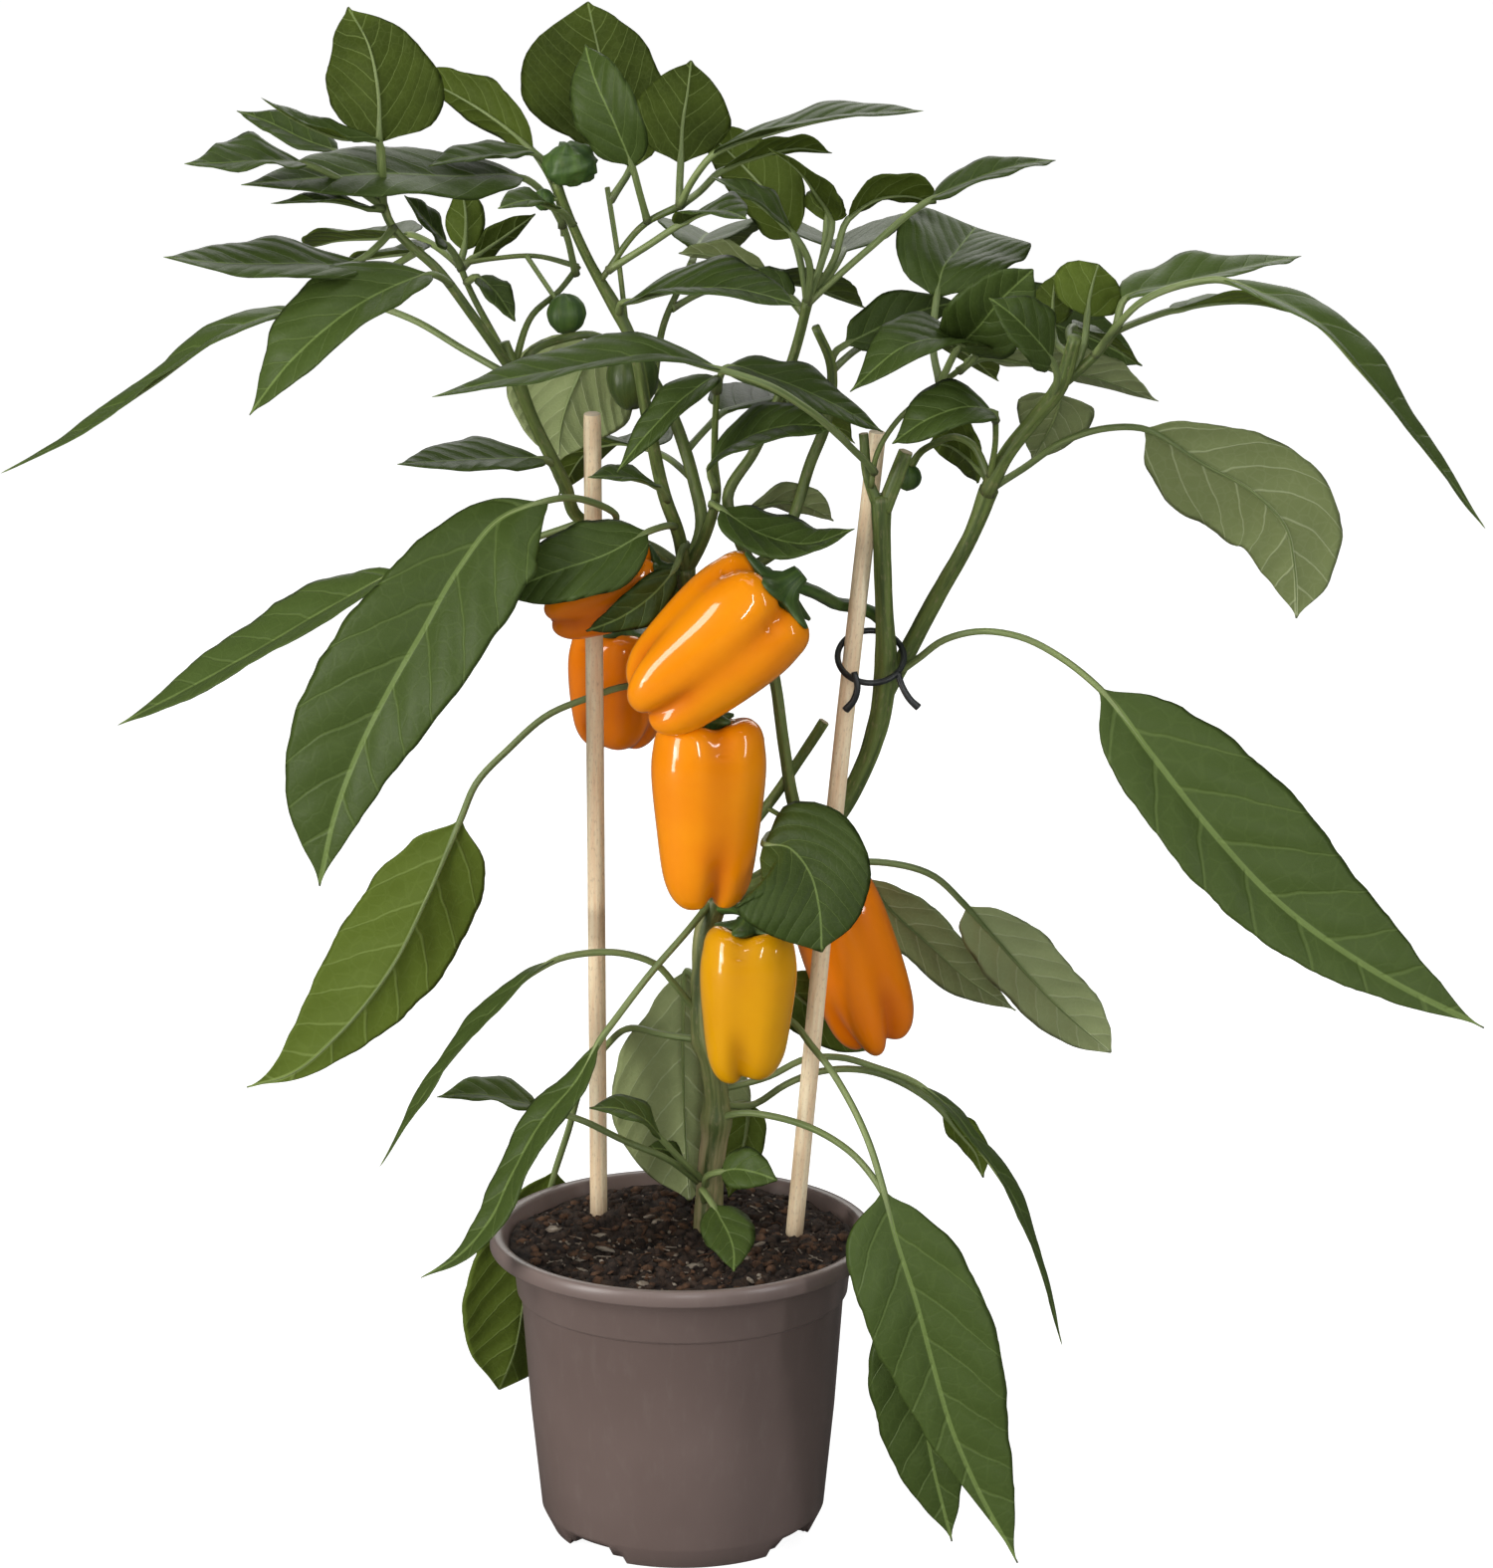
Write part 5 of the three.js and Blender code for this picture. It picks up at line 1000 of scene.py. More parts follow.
def soilHeight(x, y):
    swell = math.sin(x / 9 + 1) * math.cos(y / 11)
    base = soilForm["top"] + soilForm["relief"] * (swell + 0.5 * math.sin(x / 4.3 - y / 5.1))
    rough = noise.noise(Vector((x * 0.35, y * 0.35, 2))) + noise.noise(Vector((x * 0.9, y * 0.9, 5))) * 0.6
    return base + rough * soilForm["rough"]


def makeSoilFinish(name, dark, light):
    material, shader, wire = finishOf(name, dict(Roughness=0.95))
    mottle = mottleOn(wire, 260.0, 1400.0)
    wire.feed(shader.inputs["Base Color"], wire.blend(mottle["Patch"], dark, light))
    wire.feed(shader.inputs["Normal"], wire.bump(mottle["Grain"], 0.9, 0.0012))
    return material


# A rough crumb with twelve corners, squashed where flat is under 1
def addLump(skin, place, size, rng, finish, flat=1.0):
    long = (1 + 5 ** 0.5) / 2
    ends = [(-1, long, 0), (1, long, 0), (-1, -long, 0), (1, -long, 0), (0, -1, long), (0, 1, long),
            (0, -1, -long), (0, 1, -long), (long, 0, -1), (long, 0, 1), (-long, 0, -1), (-long, 0, 1)]
    sides = [(0, 11, 5), (0, 5, 1), (0, 1, 7), (0, 7, 10), (0, 10, 11), (1, 5, 9), (5, 11, 4), (11, 10, 2),
             (10, 7, 6), (7, 1, 8), (3, 9, 4), (3, 4, 2), (3, 2, 6), (3, 6, 8), (3, 8, 9), (4, 9, 5),
             (2, 4, 11), (6, 2, 10), (8, 6, 7), (9, 8, 1)]
    spin = Matrix.Rotation(rng.uniform(0, math.tau), 3, "Z")
    spin = spin @ Matrix.Rotation(rng.uniform(-0.6, 0.6), 3, "X")
    stretch = Vector((rng.uniform(0.7, 1.4), rng.uniform(0.6, 1.1), flat * rng.uniform(0.6, 1)))
    numbers = []
    for end in ends:
        point = Vector(end) * (size / 1.9 * rng.uniform(0.75, 1.1)) * stretch
        numbers.append(skin.corner(place + spin @ point))
    for side in sides:
        skin.lid([numbers[k] for k in side], finish)


# A place on the soil within reach of its middle, clear of the trunk and the canes
def soilSpot(rng, reach):
    while True:
        x, y = rng.uniform(-reach, reach), rng.uniform(-reach, reach)
        clear = all(math.hypot(x - a, y - b) > around for a, b, around in soilForm["clearings"])
        if math.hypot(x, y) <= reach and clear:
            return Vector((x, y, soilHeight(x, y)))


# The bed of soil: up the pot's inside, then in over the uneven top to the middle
def addBed(skin, finish):
    form, spokes, foot = soilForm, soilForm["spokes"], soilForm["foot"]
    rings = []
    for radius, height in ((0.5, foot), (51, foot), (54.2, 14), (61.5, 96), (65.6, 111.6), (67.2, 115.2)):
        rings.append(skin.ring(up * height, Vector((radius, 0, 0)), Vector((0, radius, 0)), spokes))
    for k in range(form["rounds"]):
        radius = mix(form["radius"] - 0.4, 0.6, k / (form["rounds"] - 1))
        ring = []
        for j in range(spokes):
            angle = math.tau * j / spokes
            x, y = radius * math.cos(angle), radius * math.sin(angle)
            height = soilHeight(x, y)
            if k == 0:
                height = min(height, form["top"])
            ring.append(skin.corner(Vector((x, y, height))))
        rings.append(ring)
    skin.sheet(rings, lambda r, c: ((c * 0.1, r * 0.1), (0, 0)), finish, closed=True)
    skin.lids(rings, finish)


fibreForm = dict(count=90, out=58, lift=0.5, length=(3, 9), half=0.28, bend=0.4, paleShare=0.6)


# A thin root or straw that follows the soil
def addFibre(skin, rng, pale, bark):
    form, half, bend = fibreForm, fibreForm["half"], fibreForm["bend"]
    place = soilSpot(rng, form["out"]) + up * form["lift"]
    heading = rng.uniform(0, math.tau)
    length = rng.uniform(*form["length"])
    across = Vector((-math.sin(heading), math.cos(heading), 0)) * half
    rows = []
    for k in range(4):
        step = (k / 3 - 0.5) * length
        x = place.x + step * math.cos(heading)
        y = place.y + step * math.sin(heading)
        z = max(soilHeight(x, y), place.z - form["lift"]) + 0.55
        middle = Vector((x, y, z)) + Vector((rng.uniform(-bend, bend), rng.uniform(-bend, bend), 0))
        rows.append([skin.corner(middle + way) for way in (across, up * -half, -across, up * half)])
    skin.sheet(rows, noFacts, pale if rng.random() < form["paleShare"] else bark, closed=True)
    skin.lids(rows, bark)


crumbForm = dict(count=1500, out=65.5, lift=0.1, sizes=(0.8, 1.0, 1.3, 1.8, 2.6), darkShare=0.8)
grainForm = dict(count=170, out=62, lift=0.4, size=(0.45, 1.0))
chipForm = dict(count=110, out=60, lift=0.6, size=(1.4, 4.2), flat=0.3, barkShare=0.75)


def makeSoil():
    rng = random.Random(41)
    dark = makeSoilFinish("soilDark", (0.012, 0.007, 0.005), (0.055, 0.032, 0.02))
    bark = makeSoilFinish("soilBark", (0.05, 0.024, 0.012), (0.14, 0.07, 0.035))
    pale = makeSoilFinish("soilGrains", (0.16, 0.12, 0.085), (0.4, 0.34, 0.27))
    skin = Skin(dark, bark, pale)
    addBed(skin, dark)
    for _ in range(crumbForm["count"]):
        size = rng.choice(crumbForm["sizes"])
        place = soilSpot(rng, crumbForm["out"] - size) + up * size * crumbForm["lift"]
        addLump(skin, place, size, rng, dark if rng.random() < crumbForm["darkShare"] else bark)
    for _ in range(grainForm["count"]):
        size = rng.uniform(*grainForm["size"])
        addLump(skin, soilSpot(rng, grainForm["out"]) + up * size * grainForm["lift"], size, rng, pale)
    for _ in range(chipForm["count"]):
        size = rng.uniform(*chipForm["size"])
        place = soilSpot(rng, chipForm["out"]) + up * chipForm["lift"]
        finish = bark if rng.random() < chipForm["barkShare"] else pale
        addLump(skin, place, size, rng, finish, flat=chipForm["flat"])
    for _ in range(fibreForm["count"]):
        addFibre(skin, rng, pale, bark)
    return skin.piece("pottingSoil", "soil")


caneForm = dict(
    radius=3.4, girth=21.4, steps=90, sides=28, bevel=0.94, stainTop=133, stainFull=112, bandFade=2)


def makeCaneFinish():
    material, shader, wire = finishOf("caneWood", dict(Roughness=0.62))
    streaks = streaksOn(wire, 5.0)
    mottle = mottleOn(wire, 24.0, 1200.0)
    stain, cut, _ = wire.split(wire.map("toneMap"))
    wood = wire.layered(
        wire.blend(streaks["Streak"], (0.9, 0.65, 0.41), (1.0, 0.86, 0.6)),
        (mottle["Patch"], 0.3, (0.95, 0.76, 0.48)), (streaks["Fleck"], 0.35, (0.33, 0.2, 0.1)),
        (stain, 0.85, (0.16, 0.085, 0.04)))
    wire.feed(shader.inputs["Base Color"], wire.blend(cut, wood, (0.6, 0.5, 0.36)))
    height = wire.timesPlus(mottle["Grain"], 0.3, streaks["Streak"])
    wire.feed(shader.inputs["Normal"], wire.bump(height, 0.45, 0.0004))
    return material


# stained by the soil at its foot, and a little over the band of heights
def makeCane(name, route, band, finish):
    form, sides, last = caneForm, caneForm["sides"], caneForm["steps"]
    skin = Skin(finish)
    path = Route([at(point) for point in route])
    steps = [path.length * k / last for k in range(last + 1)]
    directions = [path.along(step) for step in steps]
    ups = carried(Vector((0, -1, 0.01)), directions, 0)
    rows, facts = [], []
    for k, step in enumerate(steps):
        centre = path.at(step)
        side = ups[k].cross(directions[k])
        radius = form["radius"] * (1 + 0.012 * noise.noise(Vector((0, 0, step * 0.05 + len(name)))))
        if k == last:
            radius *= form["bevel"]
        rows.append(skin.ring(centre, side * radius, ups[k] * -radius, sides))
        uneven = 0.7 + 0.6 * noise.noise(Vector((step * 0.2, 1, 4)))
        foot = smooth(form["stainTop"], form["stainFull"], centre.z) * uneven
        low, high, fade = *band, form["bandFade"]
        marked = smooth(low - fade, low, centre.z) * smooth(high + fade, high, centre.z) * 0.45
        facts.append(max(0, min(1, foot + marked)))
    wood = lambda r, c: ((c * form["girth"] / sides / 10, steps[r] / 10), (facts[r], 0))
    skin.sheet(rows, wood, finish, closed=True)
    skin.lid(rows[0][::-1], finish)
    end = path.at(path.length)
    raised = end + directions[-1] * 0.35
    inner = [skin.corner(raised + (skin.corners[n] / mm - end) * 0.82) for n in rows[-1]]
    skin.sheet([rows[-1], inner], lambda r, c: ((0, 0), (0, 1)), finish, closed=True)
    skin.lid(inner, finish, (0.2, 0.8))
    return skin.piece(name, nodeOf(name))


clipForm = dict(centre=(72.3, 351, 3), radius=12.6, wire=1.2, dip=38, turns=84, sides=12,
                gripRadii=(1.25, 1.25, 1.35, 1.5),
                grips=[((66, 345, 12), (67.3, 339, 13), (66, 334, 13), (62.8, 330, 12)),
                       ((82.5, 345, 9), (84.5, 339, 11), (87.5, 334, 12), (90.6, 331, 12))])


def makeClip():
    material, shader, wire = finishOf("clipPlastic", dict(Roughness=0.4))
    mottle = mottleOn(wire, 120.0, 1800.0)
    dark, light = (0.012, 0.014, 0.014), (0.03, 0.034, 0.034)
    wire.feed(shader.inputs["Base Color"], wire.blend(mottle["Patch"], dark, light))
    wire.feed(shader.inputs["Normal"], wire.bump(mottle["Grain"], 0.1, 0.0002))
    skin = Skin(material)
    centre = at(clipForm["centre"])
    dip = math.radians(clipForm["dip"])
    down = Vector((0, -math.cos(dip), -math.sin(dip)))
    across = Vector((1, 0, 0))
    normal = across.cross(down)
    turns, sides = clipForm["turns"], clipForm["sides"]
    rows = []
    for k in range(turns):
        angle = math.tau * k / turns
        outward = across * math.cos(angle) + down * math.sin(angle)
        wire = clipForm["wire"]
        rows.append(skin.ring(centre + outward * clipForm["radius"], outward * wire, normal * wire, sides))
    skin.sheet(rows + rows[:1], noFacts, material, flip=True, closed=True)
    for grip in clipForm["grips"]:
        addStem(skin, grip, clipForm["gripRadii"], material, sides=sides, rib=0, spacing=1.0)
    return skin.piece("stemClip", "stem_clip")


canes = dict(
    caneLeft=dict(
        route=[(-32.5, 62, -29), (-32.5, 125, -29), (-32.8, 300, -18), (-33.2, 445.5, -9)], band=(231, 245)),
    caneRight=dict(
        route=[(38.2, 62, -8), (43.3, 116, -7), (59.9, 300, -1), (74.4, 438.5, 1)], band=(500, 510)),
)

trunk = dict(
    route=[(9.5, 72, -4), (10, 118, -4), (11.5, 148, -4), (13.5, 170, -4), (12, 187, -3),
        (8.5, 205, -2), (8.5, 222, -2), (9.5, 242, -2), (13.5, 256, -2)],
    radii=(5.2, 5.6, 5.2, 4.9, 4.7, 4.9, 4.4, 4.6, 4.8), woody=0.3, bark=96,
    knobs=((94, 0.28), (127, 0.2), (150, 0.16)))
middleStem = dict(
    route=[(13.5, 254, -2), (14.5, 275, -5), (13, 300, -7), (9, 330, -8), (4.5, 358, -9),
        (2.2, 377, -9)],
    radii=(4.2, 3.9, 3.7, 3.5, 3.5, 3.8))
rightStem = dict(
    route=[(13.5, 254, -2), (30, 262, -7), (48, 275, -11), (60, 289, -11), (70, 308, -8), (76, 328, -5),
        (78, 345, -2), (77.3, 370, 3), (76.3, 398, 7), (76, 414, 8)],
    radii=(4.2, 3.9, 3.7, 3.6, 3.6, 4, 4.4, 3.4, 3.3, 3.9))
rightStub = dict(route=[(77, 408, 8), (81, 419, 8), (85.3, 431, 9)], radii=(3, 3.1, 2.7), cut=cutSkin)
leftStub = dict(route=[(75.5, 409, 8), (71.5, 419, 9), (69.2, 438, 9)], radii=(2.4, 1.9, 1.8), cut=cutSkin)
outerStem = dict(
    route=[(78, 336, -5), (86, 352, -8), (95, 370, -3), (102, 383, 3), (110, 398, 9), (117, 417, 14)],
    radii=(3.2, 3.4, 3.3, 3.1, 3, 3.6))
innerStem = dict(
    route=[(49, 277, -11), (43.5, 292, -9), (40, 312, -7), (36.5, 338, -6), (32, 364, -6),
        (28, 384, -6)],
    radii=(3, 2.5, 2.3, 2.2, 2.2, 2.4))
crossStub = dict(
    route=[(14, 272, -6), (24, 281, -11), (34, 293.5, -14), (45, 310, -14), (54.7, 325.5, -13)],
    radii=(2, 2, 2, 2, 2.1), cut=cutSkin)
crossTwig = dict(
    route=[(25, 292, -12), (33, 291, -13), (41.5, 285, -12), (47, 279, -11)],
    radii=(1, 1, 1, 1))
mainStems = [trunk, middleStem, rightStem, rightStub, leftStub, outerStem, innerStem, crossStub, crossTwig]


budForm = dict(spokes=24, rows=18, crumple=0.28, smooth=0.05, lobes=3)


# A crumpled bud, or a smoother young fruit where it is taller than wide
def addBud(skin, centre, radius, root, tall):
    middle, spokes, rows = at(centre), budForm["spokes"], budForm["rows"]
    crumple = budForm["crumple"] if tall < 1 else budForm["smooth"]
    finish = youngSkin if tall > 1 else calyxSkin
    rings = []
    for k in range(1, rows):
        polar = math.pi * k / rows
        ring = []
        for j in range(spokes):
            angle = math.tau * j / spokes
            point = roundPlace(angle, 1, 0) * math.sin(polar) + up * math.cos(polar)
            swell = 1 + 0.05 * math.cos(budForm["lobes"] * angle)
            swell += crumple * noise.noise(point * 2.6 + middle)
            point.z *= tall
            ring.append(skin.corner(middle + point * radius * swell))
        rings.append(ring)
    skin.sheet(rings, lambda r, c: ((c * 0.1, r * 0.1), (0.1, 0)), finish, flip=True, closed=True)
    skin.lid(rings[0], finish)
    skin.lid(rings[-1][::-1], finish)
    if root:
        addStem(skin, [root, centre], [1, 1], stalkSkin, sides=8, spacing=1.5)


# A twig's route and its radii, a blade and a bud of the crown, laid in opened places
def twig(route, *radii):
    return dict(route=[opened(point) for point in route], radii=radii)


def blade(stalk, rib, half, face, tone=0.3, **looks):
    return dict(stalk=[opened(point) for point in stalk], rib=[opened(point) for point in rib], half=half,
                face=face, tone=tone, **looks)


def bud(centre, radius, root=None, tall=1):
    return dict(centre=opened(centre), radius=radius, root=root and opened(root), tall=tall)


crown = {}

# the upright bunch at the head of the middle stem
crown["shootMiddle"] = dict(
    stems=[
        twig([(2.2, 378, -9), (2, 386, -8)], 3.8, 3.9),
        twig([(2, 384, -8), (-1, 400, 0), (-5, 411, 3), (-12, 443, 6), (-19, 476, 8), (-24, 486, 8),
              (-34, 504, 10), (-44, 528, 14), (-46, 534, 15)], 2.7, 2.5, 2.5, 2.4, 2.3, 2.6, 1.9, 1.7, 1.8),
        twig([(-29.5, 497, 9.5), (-12, 519, 12), (0, 525, 14)], 1.2, 1.2, 1.4),
        twig([(2, 384, -8), (8, 395, -3), (13.5, 413, 2), (13, 428, 5), (14, 459, 11)],
             2.4, 2.2, 1.9, 1.3, 1.2),
        twig([(-20, 478, 8), (-23, 505, 2), (-27, 532, -5)], 1, 1, 1),
    ],
    leaves=[
        blade([(-26, 527, -4), (-22, 533, -6), (-18.5, 539, -8)],
              [(-22, 556, -9), (-29, 580, -14), (-34, 602, -22)],
              (20, 34), (0, 1, 0.15), fold=10, shape=((0.6, 0.8), (1, 0.55)), tone=0.02, crinkle=0.6),
        blade([(-12, 519, 12), (-15, 530, 16), (-17.5, 539.5, 18)],
              [(-24, 556, 20), (-31, 572, 18), (-35, 586, 12)], 14, (-0.4, -1, 0.1)),
        blade([(0, 525, 14), (0, 533, 10), (0.4, 541, 8)], [(1, 555, 6), (3, 568, 2), (4.4, 580, -4)],
              18, (0, 1, 0.2), fold=8, tone=0.04, crinkle=0.5),
        blade([(-27, 500.5, 9.8), (-12, 510, 13), (0, 518, 15)],
              [(8, 522, 20), (17, 523, 26), (25, 520, 32)], 12, (0, -0.3, 1)),
        blade([(0, 525, 14), (5, 535, 18), (12, 544, 20)], [(35, 553, 26), (62, 559, 32), (91, 561, 38)],
              19, (0, -0.08, 1), fold=10, tone=0.1, crinkle=0.5),
        blade([(0, 525, 14), (8, 531, 6), (15, 538, 2)], [(30, 544, -4), (45, 547, -10), (57, 545, -14)],
              11, (0, 0.6, 0.8)),
        blade([(-23, 484, 8), (-22, 488, 14), (-20, 488.5, 18)],
              [(0, 493, 26), (22, 493, 34), (45, 487, 40)], 19, (0, -0.28, 1), tone=0.15),
        blade([(-5, 412, 4), (-8, 417, 10)], [(-22, 421, 18), (-35, 421, 24)], 8, (0, -0.3, 1)),
        blade([(13.5, 454, 10), (14, 459, 12)], [(2, 452, 20), (-12, 438, 26), (-24, 423, 30)],
              9, (-0.4, -0.6, 0.8)),
        blade([(13.5, 416, 3), (11, 424, 8)], [(25, 436, 16), (42, 441, 22), (60, 440, 28)],
              14, (0, -0.5, 0.8)),
        blade([(14, 454, 10), (15.5, 461, 12), (17, 463, 13)],
              [(35, 459, 18), (56, 450, 20), (76.5, 438.5, 22)], 14, (0.1, -0.35, 1), fold=8),
        blade([(12, 410, 1), (12, 411, 8), (15, 409, 14)], [(30, 399, 24), (48, 395, 32), (66, 401, 36)],
              13, (0, -0.5, 1), fold=8),
        blade([(-40, 518, 12), (-46, 524, 22)], [(-56, 527, 28), (-68, 524, 34)], 8, (0, -0.4, 1)),
    ],
    buds=[
        bud((-41, 541, 15), 10, tall=0.75),
        bud((-51, 527.5, 14), 4, root=(-44, 528, 14)),
    ],
)
# the pale growth behind it
crown["shootBack"] = dict(
    stems=[
        twig([(2, 384, -8), (8, 402, -16), (5, 420, -19), (2, 431, -20), (-3, 445, -21), (-10, 458, -22)],
             2.4, 2.4, 2.3, 2.3, 2.2, 2.2),
        twig([(-10, 457, -22), (-6, 480, -26), (4, 502, -30)], 1.5, 1.3, 1.2),
    ],
    leaves=[
        blade([(-9, 455, -22), (-20, 464, -25), (-31, 470, -27)],
              [(-40, 456, -30), (-45, 440, -32), (-46, 427, -33)],
              25, (0, 1, 0), fold=8, tone=0.5, under="pale"),
        blade([(4, 502, -30), (6, 508, -36)], [(10, 514, -52), (12, 512, -74), (12, 504, -96)],
              21, (0, 0, 1)),
        blade([(-3, 486, -27), (8, 492, -34)], [(30, 496, -48), (50, 494, -62), (70, 486, -76)],
              19, (0, 0.2, 1)),
        blade([(2, 431, -20), (10, 440, -30), (16, 446, -38)],
              [(34, 450, -54), (52, 446, -72), (66, 434, -90)], 22, (0.1, 0.2, 1)),
        blade([(5, 420, -19), (-4, 428, -32), (-12, 432, -44)],
              [(-26, 434, -64), (-38, 428, -86), (-46, 414, -108)], 23, (0, 0.2, 1)),
    ],
)
# the stem between the fruits and the clip
crown["shootInner"] = dict(
    stems=[
        twig([(27.6, 385, -6), (22, 398, -3), (18, 413, -4), (28, 431, -5), (37, 451, -4), (47, 484, 0),
              (48, 489, 1)], 2.3, 2.3, 2.2, 2, 2, 1.9, 2.2),
        twig([(27.4, 386, -6), (38, 394, -7), (43, 406, -8), (49, 426, -10), (55, 442, -10), (57, 464, -9),
              (51, 479, -6)], 2, 2.1, 2.1, 2.1, 2.1, 1.9, 1.7),
    ],
    leaves=[
        blade([(48, 487, 1), (46, 500, -4), (43, 512, -8)],
              [(35, 527, -14), (20, 544, -20), (7, 555.5, -26)], 15, (0, 1, 0.3)),
        blade([(48, 488, 1), (53, 503, 2), (57, 519, 0)], [(51, 530, 4), (43, 540, 8), (33, 547, 10)],
              12, (0.6, 0.3, 0.8)),
        blade([(48, 488, 1), (48, 505, 6), (42, 515, 8)], [(32, 524, 9), (22, 531, 9), (12, 536, 8)],
              12, (0.3, -0.2, 1)),
        blade([(48, 488, 1), (54, 508, -2), (55, 519, -4)], [(55, 527, -8), (56, 534, -14)],
              9, (0, 1, 0.5)),
        blade([(48, 488, 1), (58, 505, -4), (63, 520, -8)],
              [(72, 527, -10), (84, 529, -12), (96, 526, -14)], (7, 12), (0, 0.7, 0.7), shape=(0.6, 0.6)),
        blade([(48, 488, 1), (57, 500, -4), (61, 507, -12)],
              [(60, 509, -30), (58, 512, -52), (57, 510, -76)], 29, (0, 0, 1), fold=24),
        blade([(48, 488, 1), (70, 508, 2), (93, 527, 2)],
              [(110, 535, 2), (125, 540, 0), (140.6, 542.4, -4)], (10, 13), (0, -0.2, 1)),
        blade([(47, 483, 0), (41, 490, -8), (33, 500, -12)],
              [(20, 504, -14), (8, 507, -16), (-0.5, 507, -18)], 9, (0, 0.7, 0.7), tone=0.3, under="pale"),
        blade([(47, 484, 0), (44, 488, -2), (42, 490, -4)], [(34, 495, -6), (24, 500, -8)],
              8, (0, -0.5, 0.8)),
        blade([(22, 398, -3), (24, 406, -10)], [(35, 411, -18), (48, 410, -26), (58, 404, -34)],
              10, (0, 0.7, 0.6), tone=0.4, under="pale"),
        blade([(56.8, 466, -9), (59, 470, -12), (62, 472, -13)],
              [(70, 476, -15), (80, 481, -17), (92, 485.5, -18), (105, 488.5, -20)], 11, (0, -0.8, 0.6)),
        blade([(57, 462, -9), (66, 470, -20), (74, 474, -30)],
              [(90, 476, -46), (106, 470, -62), (120, 458, -78)], 21, (0, 0.1, 1)),
    ],
    buds=[
        bud((43, 447, 5), 4, root=(38, 455, -4)),
    ],
)
# the growth above the right stem's fork
crown["shootFork"] = dict(
    stems=[
        twig([(72, 417, 9), (74, 429, 9), (82, 443, 10), (97, 456, 9), (111, 467, 10)], 1.2, 1, 1, 1, 1.2),
    ],
    leaves=[
        blade([(73.2, 423, 9), (71, 426, 14), (66, 431, 19), (60, 437, 30), (47, 448, 42), (32, 457, 46),
               (17, 462, 46)], [(-8, 468, 47), (-40, 463, 50), (-68, 458, 52), (-93.6, 452, 54)],
              22, (0, -0.05, 1), fold=10),
        blade([(98, 457, 9), (95.5, 468, 7), (96.4, 490, 5)],
              [(98, 499, 2), (104, 508, -8), (111, 517, -20)], (24, 27), (0, -0.7, 0.7), shape=(0.5, 0.4)),
        blade([(98, 457, 9), (101, 464, 13), (104, 470, 16)],
              [(113, 480, 22), (121, 490, 26), (132.5, 501, 28)], 16, (0.3, -1, 0.4), shape=(0.6, 0.7)),
        blade([(105, 462, 9), (111, 467, 12)], [(100, 474, 22), (84, 471, 30), (64, 454, 36)],
              17, (0, -0.35, 1)),
        blade([(108, 465, 10), (114, 467, 6)], [(135, 464, -2), (158, 459, -12), (180.4, 450.3, -20)],
              17, (0, 0.5, 0.85), tone=0.5, under="pale"),
        blade([(109, 465.5, 10), (114, 471, 2), (120, 475, -8)],
              [(127, 482, -14), (139, 480, -16), (158, 472.6, -17), (174, 464, -18)], 16, (0, -0.75, 0.65)),
    ],
)
